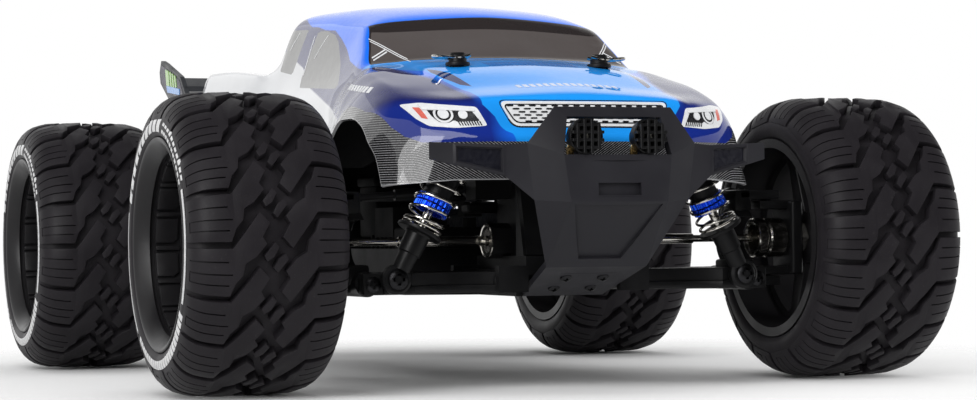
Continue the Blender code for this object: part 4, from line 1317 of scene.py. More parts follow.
@dataclass
class Suspension:
    """Lower arm, upper link and uprights of a corner."""

    pivot: Point = (28.0, 0.0, 44.0)
    pin: Point = (84.0, 0.0, 43.3)
    foot: Point = (75.7, 27.0, 45.3)
    link_inner: Point = (30.0, -9.5, 81.5)
    link_outer: Point = (88.0, -9.5, 77.5)
    kingpin: float = 99.5
    axle_z: float = 60.0
    low: float = 39.2
    high: float = 47.8
    web: Outline = (
        (30, -22), (44, -13.5), (64, -14), (76, -24), (88, -24), (88, 24), (68, 24), (58, 17), (44, 16),
        (30, 22))
    window: Outline = ((38, 3), (66, 3), (66, 9.5), (38, 10.5))
    groove: Outline = ((46, 12.0), (62, 12.4), (70, 18.0), (70, 20.5), (60, 14.4), (46, 13.6))
    flange: Outline = (
        (31, 12), (31, 23.4), (44.4, 17.4), (57.6, 18.4), (67.4, 25.2), (80, 25.2), (80, 18), (66, 12))
    boss: Outline = ((0.0, 0.0), (0.0, 4.6), (2.4, 4.2), (3.0, 3.6), (3.0, 0.0))
    ring: Outline = ((82.5, 9.6), (82.5, 12.4), (83.1, 13.0), (89.4, 13.0), (90.0, 12.4), (90.0, 9.6))
    lug: Outline = ((107.8, 3.6), (107.8, 8.0), (113.8, 8.0), (113.8, 3.6))
    steer: Outline = (
        (97.2, -25.0), (101.8, -25.0), (103.4, -13.0), (103.4, -3.0), (98.9, -3.0), (98.9, -13.0))
    pads: Sequence[Outline] = (
        ((81.0, -10.5, 43.0), (90.0, 10.5, 51.0)), ((83.0, -6.0, 70.6), (91.0, 6.0, 80.4)))
    caster_end: float = 104.5
    caster_beams: Outline = ((39.8, 43.8), (76.2, 80.2))
    kingpins: Outline = ((41, 47.2), (72.8, 79))
    knuckle_arms: Outline = ((44.2, 47.9), (72.1, 75.8))
    carrier_end: float = 111.0
    carrier_beams: Outline = ((42.0, 47.0), (73.0, 78.0))

    @staticmethod
    def bar(centre: Point, start: float, end: float, radius: float = 1.6) -> Piece:
        """A pin along Y, from start to end of a centre."""
        return rod(Vector(centre) + ALONG * start, Vector(centre) + ALONG * end, radius, 20)

    def arm(self) -> Piece:
        """The ribbed lower arm with its fork, hinge pin and shock stud.

        Returns:
            The new piece.
        """
        low, high = self.low, self.high
        cutters = [block((76.5, -17.5, low - 5), (92, 17.5, high + 5))]
        for sign in (-1, 1):
            for shape, floor in ((self.window, low - 4), (self.groove, high - 1.4)):
                cutters.append(plate([(x, sign * y) for x, y in shape], floor, high + 4))
        web = round_edges(cut(plate(self.web, low, high), *cutters), 0.9, 3)
        flange = plate(self.flange, low + 0.3, low + 3.4, bevel=0.6)
        boss = turned(self.boss, Vector(self.foot) - ALONG * 6, ALONG)
        return join(web, eye(self.pivot, 24.0, 4.6, 2.0, 0.6), flange, boss, self.bar(self.foot, -4.0, 4.2),
                    self.bar(self.pin, -23.0, 23.0))

    def screws(self) -> Piece:
        """Heads of the shock screw and of the outer hinge pin."""
        return join(screw(Vector(self.foot) + ALONG * 2.6, ALONG, 4.1, 2.0),
                    screw(Vector(self.pin) + ALONG * 23.6, ALONG, 3.2, 1.4))

    def link(self) -> Piece:
        """The turnbuckle link with its hex and ball ends.

        Returns:
            The new piece.
        """
        span = Vector(self.link_outer) - Vector(self.link_inner)
        half = [(2.0, 0.0), (2.0, 1.5), (10.0, 1.9), (10.0, 1.5), (span.length / 2 - 5, 1.5),
                (span.length / 2 - 4.6, 2.3)]
        profile = half + [(span.length - along, radius) for along, radius in reversed(half)]
        eyes = [eye(centre, 2.5, 4.0, bore, 0.8)
                for centre, bore in ((self.link_inner, 2.0), (self.link_outer, 3.0))]
        return join(turned(profile, self.link_inner, span.normalized(), 24), *eyes)

    def beams(self, end: float, spans: Outline) -> list[Piece]:
        """Bars of an upright that reach out to an end, between heights."""
        return [block((85.0, -6.0, low), (end, 6.0, high), 1.0) for low, high in spans]

    def bearing(self, thick: float, half: float) -> Piece:
        """The bored plate round the axle's bearing.

        Args:
            thick: Its thickness.
            half: Half its height.

        Returns:
            The new piece.
        """
        z = self.axle_z
        wall = block((108.0, -9.5, z - half), (108.0 + thick, 9.5, z + half), 1.4, 3)
        return cut(wall, rod((104, 0, z), (118, 0, z), 3.4, 32))

    def upright(self) -> list[Piece]:
        """Pieces that front and rear uprights share.

        Returns:
            The new pieces.
        """
        z = self.axle_z
        hoop = turned(self.ring, (0, 0, z), OUTWARD, 48, closed=True)
        cut(hoop, block((80.0, 1.5, z - 9.0), (93.0, 16.0, z + 9.0)))
        pads = [block(low, high, 1.2) for low, high in self.pads]
        return [eye(self.pin, 17.0, 5.0, 2.0, 0.7), hoop, *pads, self.bar(self.link_outer, 4.5, -3.2, 1.2)]

    def caster(self) -> Piece:
        """The front upright: a C round the steering knuckle."""
        pins = [rod((self.kingpin, 0, a), (self.kingpin, 0, b), 1.6, 20) for a, b in self.kingpins]
        return join(*self.upright(), *self.beams(self.caster_end, self.caster_beams), *pins)

    def knuckle(self) -> Piece:
        """The steering knuckle with its bearing plate and steering arm.

        Returns:
            The new piece.
        """
        lug = turned(self.lug, (0, 0, self.axle_z), OUTWARD, 48, closed=True)
        arms = []
        for low, high in self.knuckle_arms:
            bore = rod((self.kingpin, 0, low - 5), (self.kingpin, 0, high + 5), 2.0, 24)
            arms.append(cut(block((95.0, -5.2, low), (110.0, 5.2, high), 0.9), bore))
        steer = plate(self.steer, *self.knuckle_arms[1], bevel=0.9)
        stud = rod((self.kingpin, -21.0, 74.0), (self.kingpin, -21.0, 81.4), 1.6, 20)
        return join(self.bearing(5.4, 15.7), lug, *arms, steer, stud)

    def carrier(self) -> Piece:
        """The rear upright with its bearing plate."""
        beams = self.beams(self.carrier_end, self.carrier_beams)
        return join(*self.upright(), self.bearing(6.0, 18.0), *beams)

    def build(self) -> None:
        """Make the pieces once and fit them to each corner."""
        front, rear = (End.FRONT,), (End.REAR,)
        fit_corners(self.arm(), "lower_arm_look_{tag}", Finish.BLACK, "lower_arm_{tag}", body="arm_{tag}")
        fit_corners(self.screws(), "arm_screws_{tag}", Finish.STEEL, body="arm_{tag}")
        fit_corners(self.link(), "upper_link_look_{tag}", Finish.BLACK, "upper_link_{tag}",
                    body="link_{tag}")
        fit_corners(self.caster(), "caster_look_{side}", Finish.BLACK, "caster_block_{side}",
                    body="upright_{tag}", ends=front)
        fit_corners(self.knuckle(), "knuckle_look_{side}", Finish.BLACK, "knuckle_{side}",
                    body="knuckle_{side}", ends=front)
        fit_corners(self.carrier(), "carrier_look_{side}", Finish.BLACK, "hub_carrier_{side}",
                    body="upright_{tag}", ends=rear)


@dataclass
class CoilOver:
    """A coil-over shock: black body with a blue knurled collar, nickel spring and rod, black eye."""

    top: Vector = field(default_factory=lambda: Vector((42.0, 27.0, 108.5)))
    foot: Vector = field(default_factory=lambda: Vector((75.7, 27.0, 45.3)))
    cylinder: Outline = (
        (2.6, 0.0), (2.6, 4.4), (5.0, 6.6), (5.6, 7.0), (9.4, 7.0), (9.8, 6.6), (10.5, 6.6), (10.5, 8.6),
        (10.9, 8.9), (13.0, 8.9), (13.4, 8.5), (13.4, 5.9), (34.6, 5.9), (35.0, 6.4), (35.6, 6.4),
        (35.6, 5.7), (39.4, 5.7), (39.4, 2.2), (16.0, 2.2), (16.0, 0.0))
    perch: Outline = (
        (49.6, 2.0), (49.6, 9.0), (49.9, 9.3), (50.8, 9.3), (51.2, 8.9), (51.5, 5.6), (52.2, 5.0),
        (60.0, 4.7), (60.5, 4.0))
    tooth: Outline = ((0.0, 6.6), (0.15, 7.3), (0.6, 7.3), (0.75, 6.6))
    teeth: int = 20
    rows: Outline = ((35.7, 38.4), (38.9, 41.6))
    coil: float = 7.9
    wire: float = 0.56
    coil_top: float = 14.3
    coil_foot: float = 48.9
    turns: float = 8.5
    steps: int = 26
    eye: float = 2.5

    @property
    def axis(self) -> Vector:
        """Direction from the upper eye to the lower one."""
        return (self.foot - self.top).normalized()

    @property
    def length(self) -> float:
        """Distance between the eyes."""
        return (self.foot - self.top).length

    def at(self, along: float) -> Vector:
        """Point on the shock's axis."""
        return self.top + self.axis * along

    def body(self) -> Piece:
        """Cap, upper eye, spring flange and cylinder."""
        return join(turned(self.cylinder, self.top, self.axis, 56),
                    eye(self.top, self.eye, 4.8, 2.0, 0.8, 40))

    def collar(self) -> Piece:
        """Two rows of grip teeth round the preload collar.

        Returns:
            The new piece.
        """
        turns = [(math.tau * (index + share) / self.teeth, radius)
                 for index in range(self.teeth) for share, radius in self.tooth]
        outline = [(radius * math.cos(turn), radius * math.sin(turn)) for turn, radius in turns]
        rows = []
        for low, high in self.rows:
            row = plate(outline, low, high, bevel=0.18, segments=1)
            rows.append(cut(row, rod((0, 0, low - 2.0), (0, 0, high + 2.0), 5.6, 32)))
        return moved(join(*rows), aimed(self.top, self.axis))

    def rod(self) -> Piece:
        """The polished rod."""
        return rod(self.at(27.0), self.at(self.length - 8.0), 1.9, 28)

    def lower(self) -> Piece:
        """Spring perch and lower eye.

        Returns:
            The new piece.
        """
        profile = [*self.perch, (self.length - 4.0, 3.6), (self.length - 4.0, 2.0)]
        perch = turned(profile, self.top, self.axis, 48, closed=True)
        return join(perch, eye(self.foot, self.eye, 6.0, 2.8, 1.0, 40))

    def spring(self) -> Piece:
        """The coil, closer wound at both ends.

        Returns:
            The new piece.
        """
        place = aimed(self.top, self.axis)
        points = []
        for share in np.linspace(0.0, 1.0, int(self.turns * self.steps) + 1):
            turn = self.turns * share
            rise = np.interp(turn, (0.0, 1.0, self.turns - 1.3, self.turns), (0.0, 0.05, 0.945, 1.0))
            height = self.coil_top + (self.coil_foot - self.coil_top) * rise
            spot = (self.coil * math.cos(math.tau * turn), self.coil * math.sin(math.tau * turn), height)
            points.append(place @ Vector(spot))
        return tube(points, self.wire, smooth=False)

    def build(self) -> None:
        """Make the shock once and fit it to each corner."""
        fit_corners(self.body(), "shock_body_look_{tag}", Finish.BLACK, "shock_body_{tag}",
                    body="shock_{tag}")
        fit_corners(self.collar(), "shock_collar_{tag}", Finish.BLUE, body="shock_{tag}")
        fit_corners(self.rod(), "shock_shaft_{tag}", Finish.NICKEL, body="shock_rod_{tag}")
        fit_corners(self.lower(), "shock_lower_{tag}", Finish.BLACK, "shock_rod_{tag}",
                    body="shock_rod_{tag}")
        coils = fit_corners(self.spring(), "shock_coil_{tag}", Finish.NICKEL, "shock_spring_{tag}",
                            body=None)
        for corner, coil in coils.items():
            start, end = [tuple(corner.matrix @ self.at(along) * MM)
                          for along in (self.coil_top, self.coil_foot)]
            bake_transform(coil)
            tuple(start)
            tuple(end)


@dataclass
class Bumper:
    """The bent-plate bumper with sunk wing panels, and two round lamp pods."""

    wall: float = 2.8
    lamp_x: float = 13.4
    lamp_y: float = -216.0
    lamp_z: float = 100.0
    lamp_radius: float = 7.0
    lens: Outline = ((0.4, 0.0), (0.4, 2.6), (2.2, 2.4), (3.6, 1.4), (4.0, 0.0))
    foot: Outline = ((-6.2, 93.0), (-3.6, 93.0), (-3.6, 96.0), (-5.2, 97.2), (-6.2, 96.4))
    guard: float = 1.24
    guards: Numbers = (-4.4, -1.5, 1.5, 4.4)
    points: dict[str, Point] = field(default_factory=lambda: {
        "bar_top": (0, -214, 111.3), "bar_corner": (24.4, -214, 111.3), "bar_under": (0, -215.2, 107.3),
        "window_top": (19.6, -215.2, 107.3), "sill": (0, -220, 92.9), "window_foot": (22.2, -219, 92.9),
        "shoulder": (35, -213, 97.5), "root_top": (43, -210.5, 97), "root_foot": (43, -210.5, 84.8),
        "panel_top": (62.5, -204.6, 97.9), "panel_foot": (62.5, -204.6, 89.5),
        "tip_top": (71.2, -202, 98.3), "tip_foot": (71.2, -202, 91.7), "fold": (0, -221, 75.2),
        "fold_corner": (20, -220, 75.2), "fold_side": (32, -212.5, 76), "chin": (0, -196.6, 50.6),
        "chin_corner": (21.5, -196.6, 50.6), "skid": (0, -161.6, 38.8), "skid_corner": (17.5, -161.6, 38.8)})
    faces: Sequence[Sequence[str]] = (
        ("bar_top", "bar_corner", "window_top", "bar_under"),
        ("bar_corner", "shoulder", "window_foot", "window_top"),
        ("sill", "window_foot", "fold_corner", "fold"),
        ("window_foot", "shoulder", "fold_side", "fold_corner"),
        ("shoulder", "root_top", "root_foot", "fold_side"),
        ("root_top", "panel_top", "panel_foot", "root_foot"),
        ("panel_top", "tip_top", "tip_foot", "panel_foot"), ("fold", "fold_corner", "chin_corner", "chin"),
        ("fold_corner", "fold_side", "chin_corner"), ("chin", "chin_corner", "skid_corner", "skid"))
    lower_panel: Outline = ((-18.6, 1.4), (18.6, 1.4), (9.0, 30.5), (-9.0, 30.5))
    upper_panel: Outline = ((-17.6, 1.2), (17.6, 1.2), (19.4, 15.4), (-19.4, 15.4))

    def plate(self) -> Piece:
        """The bent plate with its sunk panels and mounting block.

        Returns:
            The new piece.
        """
        skin = join(*[face([self.points[name] for name in names]) for names in self.faces])
        edit(skin)
        close(weld=0.01)
        edit(skin)
        if skin.data.polygons[0].normal.y > 0.0:
            bpy.ops.mesh.flip_normals()
        done()
        choose(skin, lambda each: 45.0 < each.center.x < 62.0)
        bpy.ops.mesh.inset(thickness=0.8, depth=0.0)
        bpy.ops.mesh.inset(thickness=0.5, depth=-1.0)
        done()
        apply(skin, "MIRROR", merge_threshold=0.01)
        apply(skin, "SOLIDIFY", thickness=self.wall, offset=0.0, use_even_offset=True)
        round_edges(skin, 0.55, 2, 12.0)
        cut(skin, self.pocket("chin", self.lower_panel, 1.2), self.pocket("sill", self.upper_panel, 0.6),
            block((-9.0, -226.0, 77.2), (9.0, -219.6, 82.0)))
        mount = block((-13.0, -190.0, 46.4), (13.0, -175.6, 53.6), 1.0)
        feet = [block((x - 2.5, -219.0, 88.5), (x + 2.5, -211.0, 95.0), 0.6)
                for x in (-self.lamp_x, self.lamp_x)]
        return join(skin, mount, *feet)

    def pocket(self, end: str, outline: Outline, depth: float) -> Piece:
        """A cutter for a sunk panel in the middle of the plate.

        Args:
            end: Point that the panel runs to from the fold.
            outline: Corners as (across, along).
            depth: How deep the panel lies.

        Returns:
            The cutter.
        """
        fold = Vector(self.points["fold"])
        along = (Vector(self.points[end]) - fold).normalized()
        across = Vector(OUTWARD) * math.copysign(1.0, along.z)
        turn = Matrix((across, along, across.cross(along))).transposed().to_4x4()
        cutter = plate(outline, self.wall / 2 - depth, self.wall + 4.0)
        return moved(cutter, Matrix.Translation(fold) @ turn)

    def shade_inlay(self) -> Piece:
        """The gloss inlays in the sunk wing panels, darker than the plate as a painted shade of the
        recesses.

        Returns:
            The new piece.
        """
        corners = [Vector(self.points[name])
                   for name in ("root_top", "panel_top", "panel_foot", "root_foot")]
        middle = sum(corners, Vector()) / len(corners)
        out = (corners[2] - corners[0]).cross(corners[1] - corners[0]).normalized()
        out *= math.copysign(1.0, -out.y) * (self.wall / 2 - 0.9)
        shade_inlay = face([corner.lerp(middle, 0.17) + out for corner in corners])
        edit(shade_inlay)
        close()
        apply(shade_inlay, "SOLIDIFY", thickness=0.4, offset=0.0)
        return apply(round_edges(shade_inlay, 0.12, 1), "MIRROR", merge_threshold=0.0001)

    def lamp(self, side: Side) -> None:
        """Make a lamp and fit it: bowl with a guard of bars, lens and brass foot.

        Args:
            side: Its side.
        """
        r, half = self.lamp_radius, self.guard / 2
        centre = Vector((side.sign * self.lamp_x, self.lamp_y, self.lamp_z))
        profile = [(-7.0, 0.0), (-7.0, 3.6), (-6.4, 4.2), (-0.4, r - 0.6), (0.6, r - 0.1), (4.4, r - 0.1),
                   (4.6, r - 0.5), (4.4, r - 1.0), (2.0, r - 1.2), (0.4, 0.0)]
        pod = [turned(profile, centre, FORWARD, 48)]
        for at in self.guards:
            reach = math.sqrt((r - 0.1) ** 2 - (abs(at) + half) ** 2)
            for low, high in (((at - half, -7.0, -reach), (at + half, -4.0, reach)),
                              ((-reach, -6.8, at - half), (reach, -3.8, at + half))):
                pod.append(moved(block(low, high, 0.2, 1), Matrix.Translation(centre)))
        foot = plate([(centre.x + x, z) for x, z in self.foot], -216.5, -214.5, Across.Y, 0.2)
        fit(join(*pod), f"lamp_pod_{side.value}", Finish.BLACK)
        fit(turned(self.lens, centre, FORWARD, 28), f"lamp_lens_{side.value}", Finish.LED)
        fit(foot, f"lamp_tab_{side.value}", Finish.BRASS)

    def build(self) -> None:
        """Make the bumper and its lamps, and fit them."""
        fit(self.plate(), "bumper_look", Finish.BUMPER, "front_bumper", smooth=14.0)
        # The inlays are darker than the plate as painted shade of the recesses.
        fit(self.shade_inlay(), "bumper_shade_inlays", Finish.GLOSS)
        for side in Side:
            self.lamp(side)
        screws = [screw((x, y, z), (0, -0.52, -0.85), 2.4, 1.2)
                  for x in (-8.0, 8.0) for y, z in ((-185.0, 45.1), (-172.0, 40.8))]
        fit(join(*screws), "skid_screws", Finish.STEEL)


@dataclass
class BodyShell:
    """The painted body shell, lofted through its sections."""

    columns: int = 12
    rows: int = 12
    wall: float = 1.2
    post_x: float = 32.0
    post_hole: float = 4.2
    posts: Numbers = (-128.0, 102.0)
    clip: Outline = (
        (-5.2, 0.6, 136.9), (-3.0, 0.2, 136.3), (3.4, 0.0, 136.1), (8.6, 1.8, 136.4), (11.4, 0.2, 136.8),
        (10.4, -3.0, 136.8), (6.4, -3.4, 136.4), (2.6, -1.9, 136.2), (-1.0, -4.0, 136.4),
        (-4.6, -2.6, 137.4))
    clip_wire: float = 0.72
    cap: Outline = (
        (0.0, 3.1), (0.0, 5.0), (0.8, 5.2), (1.5, 5.0), (1.8, 3.8), (4.4, 3.7), (5.4, 3.0), (5.7, 0.0),
        (5.0, 0.0), (5.0, 3.1))
    cap_z: float = 132.9
    twill_x: float = 70.0
    twill_slope: float = 0.7
    wedge: Outline = (
        (44.4, -123.8), (42.5, -130.6), (40.2, -141.7), (39.4, -152.5), (38.5, -163.5), (42.2, -158.4),
        (44.8, -145.2), (45.4, -132.0))
    front_pane: Outline = (
        (-16.7, 155.6), (-28.5, 154.8), (-40.0, 152.2), (-47.0, 148.5), (-60.3, 137.3), (-69.0, 127.8),
        (-66.0, 126.6), (-40.9, 128.2), (-8.0, 130.4), (-6.4, 134.9))
    rear_pane: Outline = ((22.5, 159.0), (-2.5, 157.4), (10.4, 137.5), (30.6, 140.3))
    roof: Curve = (
        (-95.0, -87.7, -72.5, -60.6, -50.0, -37.7, -25.5, -14.0, -5.4, 11.6, 19.0, 60.0),
        (133.0, 134.3, 138.3, 144.6, 149.6, 154.4, 155.5, 157.8, 158.5, 163.3, 164.1, 166.0))
    bed: Curve = (
        (-100.0, -80.3, -54.2, -26.2, -5.0, 7.6, 36.6, 41.0, 57.0),
        (112.0, 116.3, 122.5, 129.1, 139.8, 143.5, 152.0, 160.0, 200.0))
    hood_edge: Curve = (
        (1.0, 1.58, 1.83, 2.42, 2.83, 3.75, 4.58, 5.5, 5.75, 6.2, 7.0),
        (0.8, 0.83, 0.92, 1.08, 1.33, 1.36, 1.67, 1.75, 2.5, 3.0, 3.4))
    fender_edge: Curve = ((2.8, 4.0, 4.75, 5.2, 7.3), (1.3, 1.5, 1.8, 2.2, 3.6))
    skirt_top: Curve = (
        (0.0, 0.92, 1.25, 1.75, 3.0, 3.4, 7.1, 8.0), (1.0, 3.42, 4.33, 4.8, 5.3, 5.5, 5.7, 5.9))
    glass_top: Curve = ((0.0, 2.0, 3.0), (8.32, 8.4, 8.52))
    sections: Sequence[Outline] = (
        ((0, -193, 84), (37, -191, 84), (52, -187, 84), (61, -183.5, 83.5), (69, -179, 83),
         (76, -174, 82.5), (80, -170, 82)),
        ((0, -195, 99), (37, -192.5, 99), (52, -187.5, 99), (61, -183, 99), (69, -177, 99), (76, -170, 98),
         (80, -163.5, 93)),
        ((0, -192.5, 104.5), (37, -189.5, 104.5), (52, -185.5, 105.5), (61, -180, 107), (69, -173, 108),
         (76, -164, 107), (80.5, -155, 100)),
        ((0, -187.5, 117), (37, -185.7, 115.7), (51, -180, 114.8), (61, -172.5, 115), (69, -164.5, 115.5),
         (76, -155, 113.5), (80.5, -146, 107)),
        ((0, -166, 123.8), (37, -165, 121.8), (50, -162, 120.6), (60, -157, 121), (68, -151, 121.5),
         (75.5, -143, 118), (80.5, -133, 110.5)),
        ((0, -141, 131.6), (36, -140, 130), (49, -138, 127.6), (59, -135, 127.4), (67, -131, 127),
         (74, -127, 122), (80.5, -120, 110.5)),
        ((0, -117, 136.6), (36, -115.5, 135), (49, -113.5, 133), (59, -111.5, 132.8), (66, -110, 130.6),
         (73, -107, 122), (80.5, -102, 102)),
        ((0, -104, 138.2), (38, -101, 137.2), (50, -98.5, 136.2), (60, -96, 135), (66, -93, 129),
         (72.5, -91, 119), (80, -88, 86)),
        ((0, -90.5, 148.5), (36, -87.5, 147), (48, -85.5, 146), (56.5, -83.5, 144.6), (64.8, -80, 130),
         (71.5, -78, 116), (79, -77, 74)),
        ((0, -77, 158.6), (35, -74.4, 156.8), (46, -72.4, 155.6), (53, -70.5, 153.8), (64.2, -64, 131),
         (71, -62, 115), (78.5, -60, 72)),
        ((0, -58, 163.6), (35, -56, 161.8), (47, -54, 159.6), (54.5, -51, 155.4), (64, -48, 131.5),
         (71, -46, 115), (78.5, -44, 71)),
        ((0, -22, 167.2), (36, -21, 165.8), (49, -19, 163.4), (56.5, -17, 158.6), (64, -15, 132.5),
         (71, -13, 116), (78.5, -10, 71)),
        ((0, 18, 168), (37, 18, 167), (51, 17, 165), (58, 16, 160.4), (63.5, 14, 135), (71, 14, 117),
         (78.5, 18, 71)),
        ((0, 41, 153), (37, 40.5, 152.8), (51, 40, 151.4), (60, 36.5, 145.6), (64.4, 37, 136),
         (71.5, 38, 119), (78.5, 42, 71)),
        ((0, 57, 133.5), (37, 57, 133.5), (53, 57, 134.5), (59, 56, 139.8), (66, 56, 140.2),
         (72.5, 58, 121), (79, 60, 74)),
        ((0, 66, 132.5), (37, 66, 132.5), (54, 66, 132.8), (57.5, 66, 141), (66.5, 67, 141.4),
         (73.5, 70, 123), (80.5, 74, 98)),
        ((0, 96, 132.5), (37, 96, 132.5), (54, 96, 132.8), (57.5, 96, 143.8), (67, 97, 144.2),
         (74, 100, 125), (80.5, 98, 110.5)),
        ((0, 136, 132.5), (37, 136, 132.5), (54, 136, 132.8), (57.5, 136, 145.4), (67, 137, 145.8),
         (73.5, 138, 126), (80.5, 128, 111)),
        ((0, 150, 132.5), (37, 150, 132.5), (53, 150, 133), (57, 150, 144), (66, 150.5, 143.5),
         (73, 151, 124), (80, 146, 106)),
        ((0, 153, 142), (37, 153, 142), (52, 153, 142), (57, 153, 142), (65, 154, 140), (71.5, 156, 120),
         (79, 156, 96)),
        ((0, 160, 140.5), (37, 160, 140.4), (51, 160, 140), (57, 160, 138), (63.5, 160.5, 132),
         (70, 161.5, 114), (77.5, 162, 90)),
        ((0, 169, 98), (37, 168.8, 98), (51, 168.5, 97), (57, 168, 95), (62, 167.5, 93), (68, 167, 90),
         (74, 166, 87)))

    @staticmethod
    def ease(values: np.ndarray, at: np.ndarray) -> np.ndarray:
        """Interpolate without overshoot along the first axis.

        Args:
            values: Values at 0, 1, 2 and so on.
            at: Where to read them.

        Returns:
            The values there.
        """
        steps = np.diff(values, axis=0)
        slopes = np.zeros_like(values)
        product = steps[:-1] * steps[1:]
        total = np.where(product > 0.0, steps[:-1] + steps[1:], 1.0)
        slopes[1:-1] = np.where(product > 0.0, 2.0 * product / total, 0.0)
        slopes[0], slopes[-1] = steps[0], steps[-1]
        return curved(values, slopes, at)

    def surface(self, across: np.ndarray, along: np.ndarray) -> np.ndarray:
        """The loft's grid of points.

        Args:
            across: Section lines, from 0 at the centre to 6 at the lower edge.
            along: Sections, from 0 at the nose to 21 at the tail.

        Returns:
            Points by section and line.
        """
        grid = self.ease(np.array(self.sections, dtype=float), along)
        grid = np.concatenate((grid[:, 1:2] * (-1.0, 1.0, 1.0), grid), axis=1)
        return np.swapaxes(self.ease(np.swapaxes(grid, 0, 1), across + 1.0), 0, 1)

    def fields(self, u: np.ndarray, v: np.ndarray, points: np.ndarray) -> dict[str, np.ndarray]:
        """Distance into each colour field, in millimetres, for points of the left half.

        Args:
            u: Section line of each point.
            v: Section of each point.
            points: The points.

        Returns:
            Field name to distance, positive inside.
        """
        plan, flank = points[:, :2], points[:, 1:]
        gap, step = 13.0, 14.0

        def within(value: np.ndarray, low: float, high: np.ndarray | float, size: float) -> np.ndarray:
            """Distance of values into a span, where one step of them has a size."""
            return np.minimum(value - low, high - value) * size

        def least(*values: np.ndarray) -> np.ndarray:
            """The least of values, point by point."""
            return np.min(values, axis=0)

        y, z = flank.T
        panes = np.maximum(depth_inside(flank, self.front_pane), depth_inside(flank, self.rear_pane))
        back = least(within(v, 12.35, 13.55, 25.0), (2.55 - u) * 12.0)
        skirt = np.maximum((u - np.interp(v, *self.skirt_top)) * 9.0, (1.0 - v) * 15.0)
        rim = np.maximum((0.03 - v) * 15.0, (u - 5.97) * 12.0)
        lean = np.clip(self.twill_x - points[:, 0], 0.0, None)
        return {
            "hood": least((np.interp(v, *self.hood_edge) - u) * gap, (7.02 - v) * step),
            "fender": least((u - np.interp(v, *self.fender_edge)) * gap, within(v, 2.3, 7.6, step)),
            "nose": least((u - 0.9) * gap, (3.0 - v) * step),
            "door": least(np.interp(y, *self.roof) - z, (u - 2.0) * gap, (v - 7.0) * step),
            "streak": least(depth_inside(plan, self.wedge), (3.0 - u) * gap, (v - 3.5) * gap),
            "scoop": least(within(v, 5.2, 5.66, step), (0.5 - u) * 30.0),
            "bed": least(np.interp(y, *self.bed) - z, (v - 6.0) * step),
            "skirt": least(skirt, (9.0 - v) * step),
            "rim": least(rim, (7.0 - v) * step),
            "band": least(within(v, 6.98, 8.9, step), (2.96 - u) * 11.0),
            "glass": least(within(v, 7.05, np.interp(u, *self.glass_top), step), (2.86 - u) * 11.0),
            "pane": np.maximum(least(panes, (u - 2.6) * gap), back),
            "grain": z + self.twill_slope * lean ** 2 / (lean + 8.0)}

    def shell(self) -> Piece:
        """The shell with its wall, post holes and paint fields.

        Returns:
            The new piece.
        """
        lines, stations = 6 * self.columns, (len(self.sections) - 1) * self.rows
        half = primitive("grid", x_subdivisions=lines, y_subdivisions=stations, size=2.0)
        flat = np.array([vertex.co for vertex in half.data.vertices])
        column = np.rint((flat[:, 0] + 1.0) / 2.0 * lines).astype(int)
        row = np.rint((flat[:, 1] + 1.0) / 2.0 * stations).astype(int)
        grid = self.surface(np.arange(lines + 1) / self.columns, np.arange(stations + 1) / self.rows)
        points = grid[row, column]
        half.data.vertices.foreach_set("co", points.ravel())
        for name, values in self.fields(column / self.columns, row / self.rows, points).items():
            layer = half.data.attributes.new(name, "FLOAT", "POINT")
            layer.data.foreach_set("value", values.astype(np.float32))
        half.data.update()
        edit(half)
        close()
        if sum(polygon.normal.z for polygon in half.data.polygons) < 0.0:
            half.data.flip_normals()
        for finish in (Finish.SHELL, Finish.INSIDE):
            half.data.materials.append(finish.material())
        apply(half, "MIRROR", merge_threshold=0.01)
        apply(half, "SOLIDIFY", thickness=self.wall, offset=-1.0, use_even_offset=True, material_offset=1)
        return cut(half, *[rod((x, y, 120), (x, y, 145), self.post_hole, 28) for x, y in self.spots])

    @property
    def spots(self) -> Outline:
        """Places of the body posts."""
        return [(side * self.post_x, y) for y in self.posts for side in (-1, 1)]

    def build(self) -> Piece:
        """Make the shell and what fastens it, and fit them.

        Returns:
            A copy of the shell in millimetres, to lay film on.
        """
        shell = self.shell()
        target = copy(shell)
        fit(shell, "body_look", Finish.SHELL, "body_shell", smooth=40.0)
        clips = [tube([(x * (1.0 + across / self.post_x), y + along, z) for across, along, z in self.clip],
                      self.clip_wire) for x, y in self.spots]
        caps = [turned(self.cap, (x, y, self.cap_z), UP, 32, closed=True) for x, y in self.spots]
        fit(join(*clips), "body_clips", Finish.NICKEL)
        fit(join(*caps), "post_caps", Finish.BLACK)
        return target


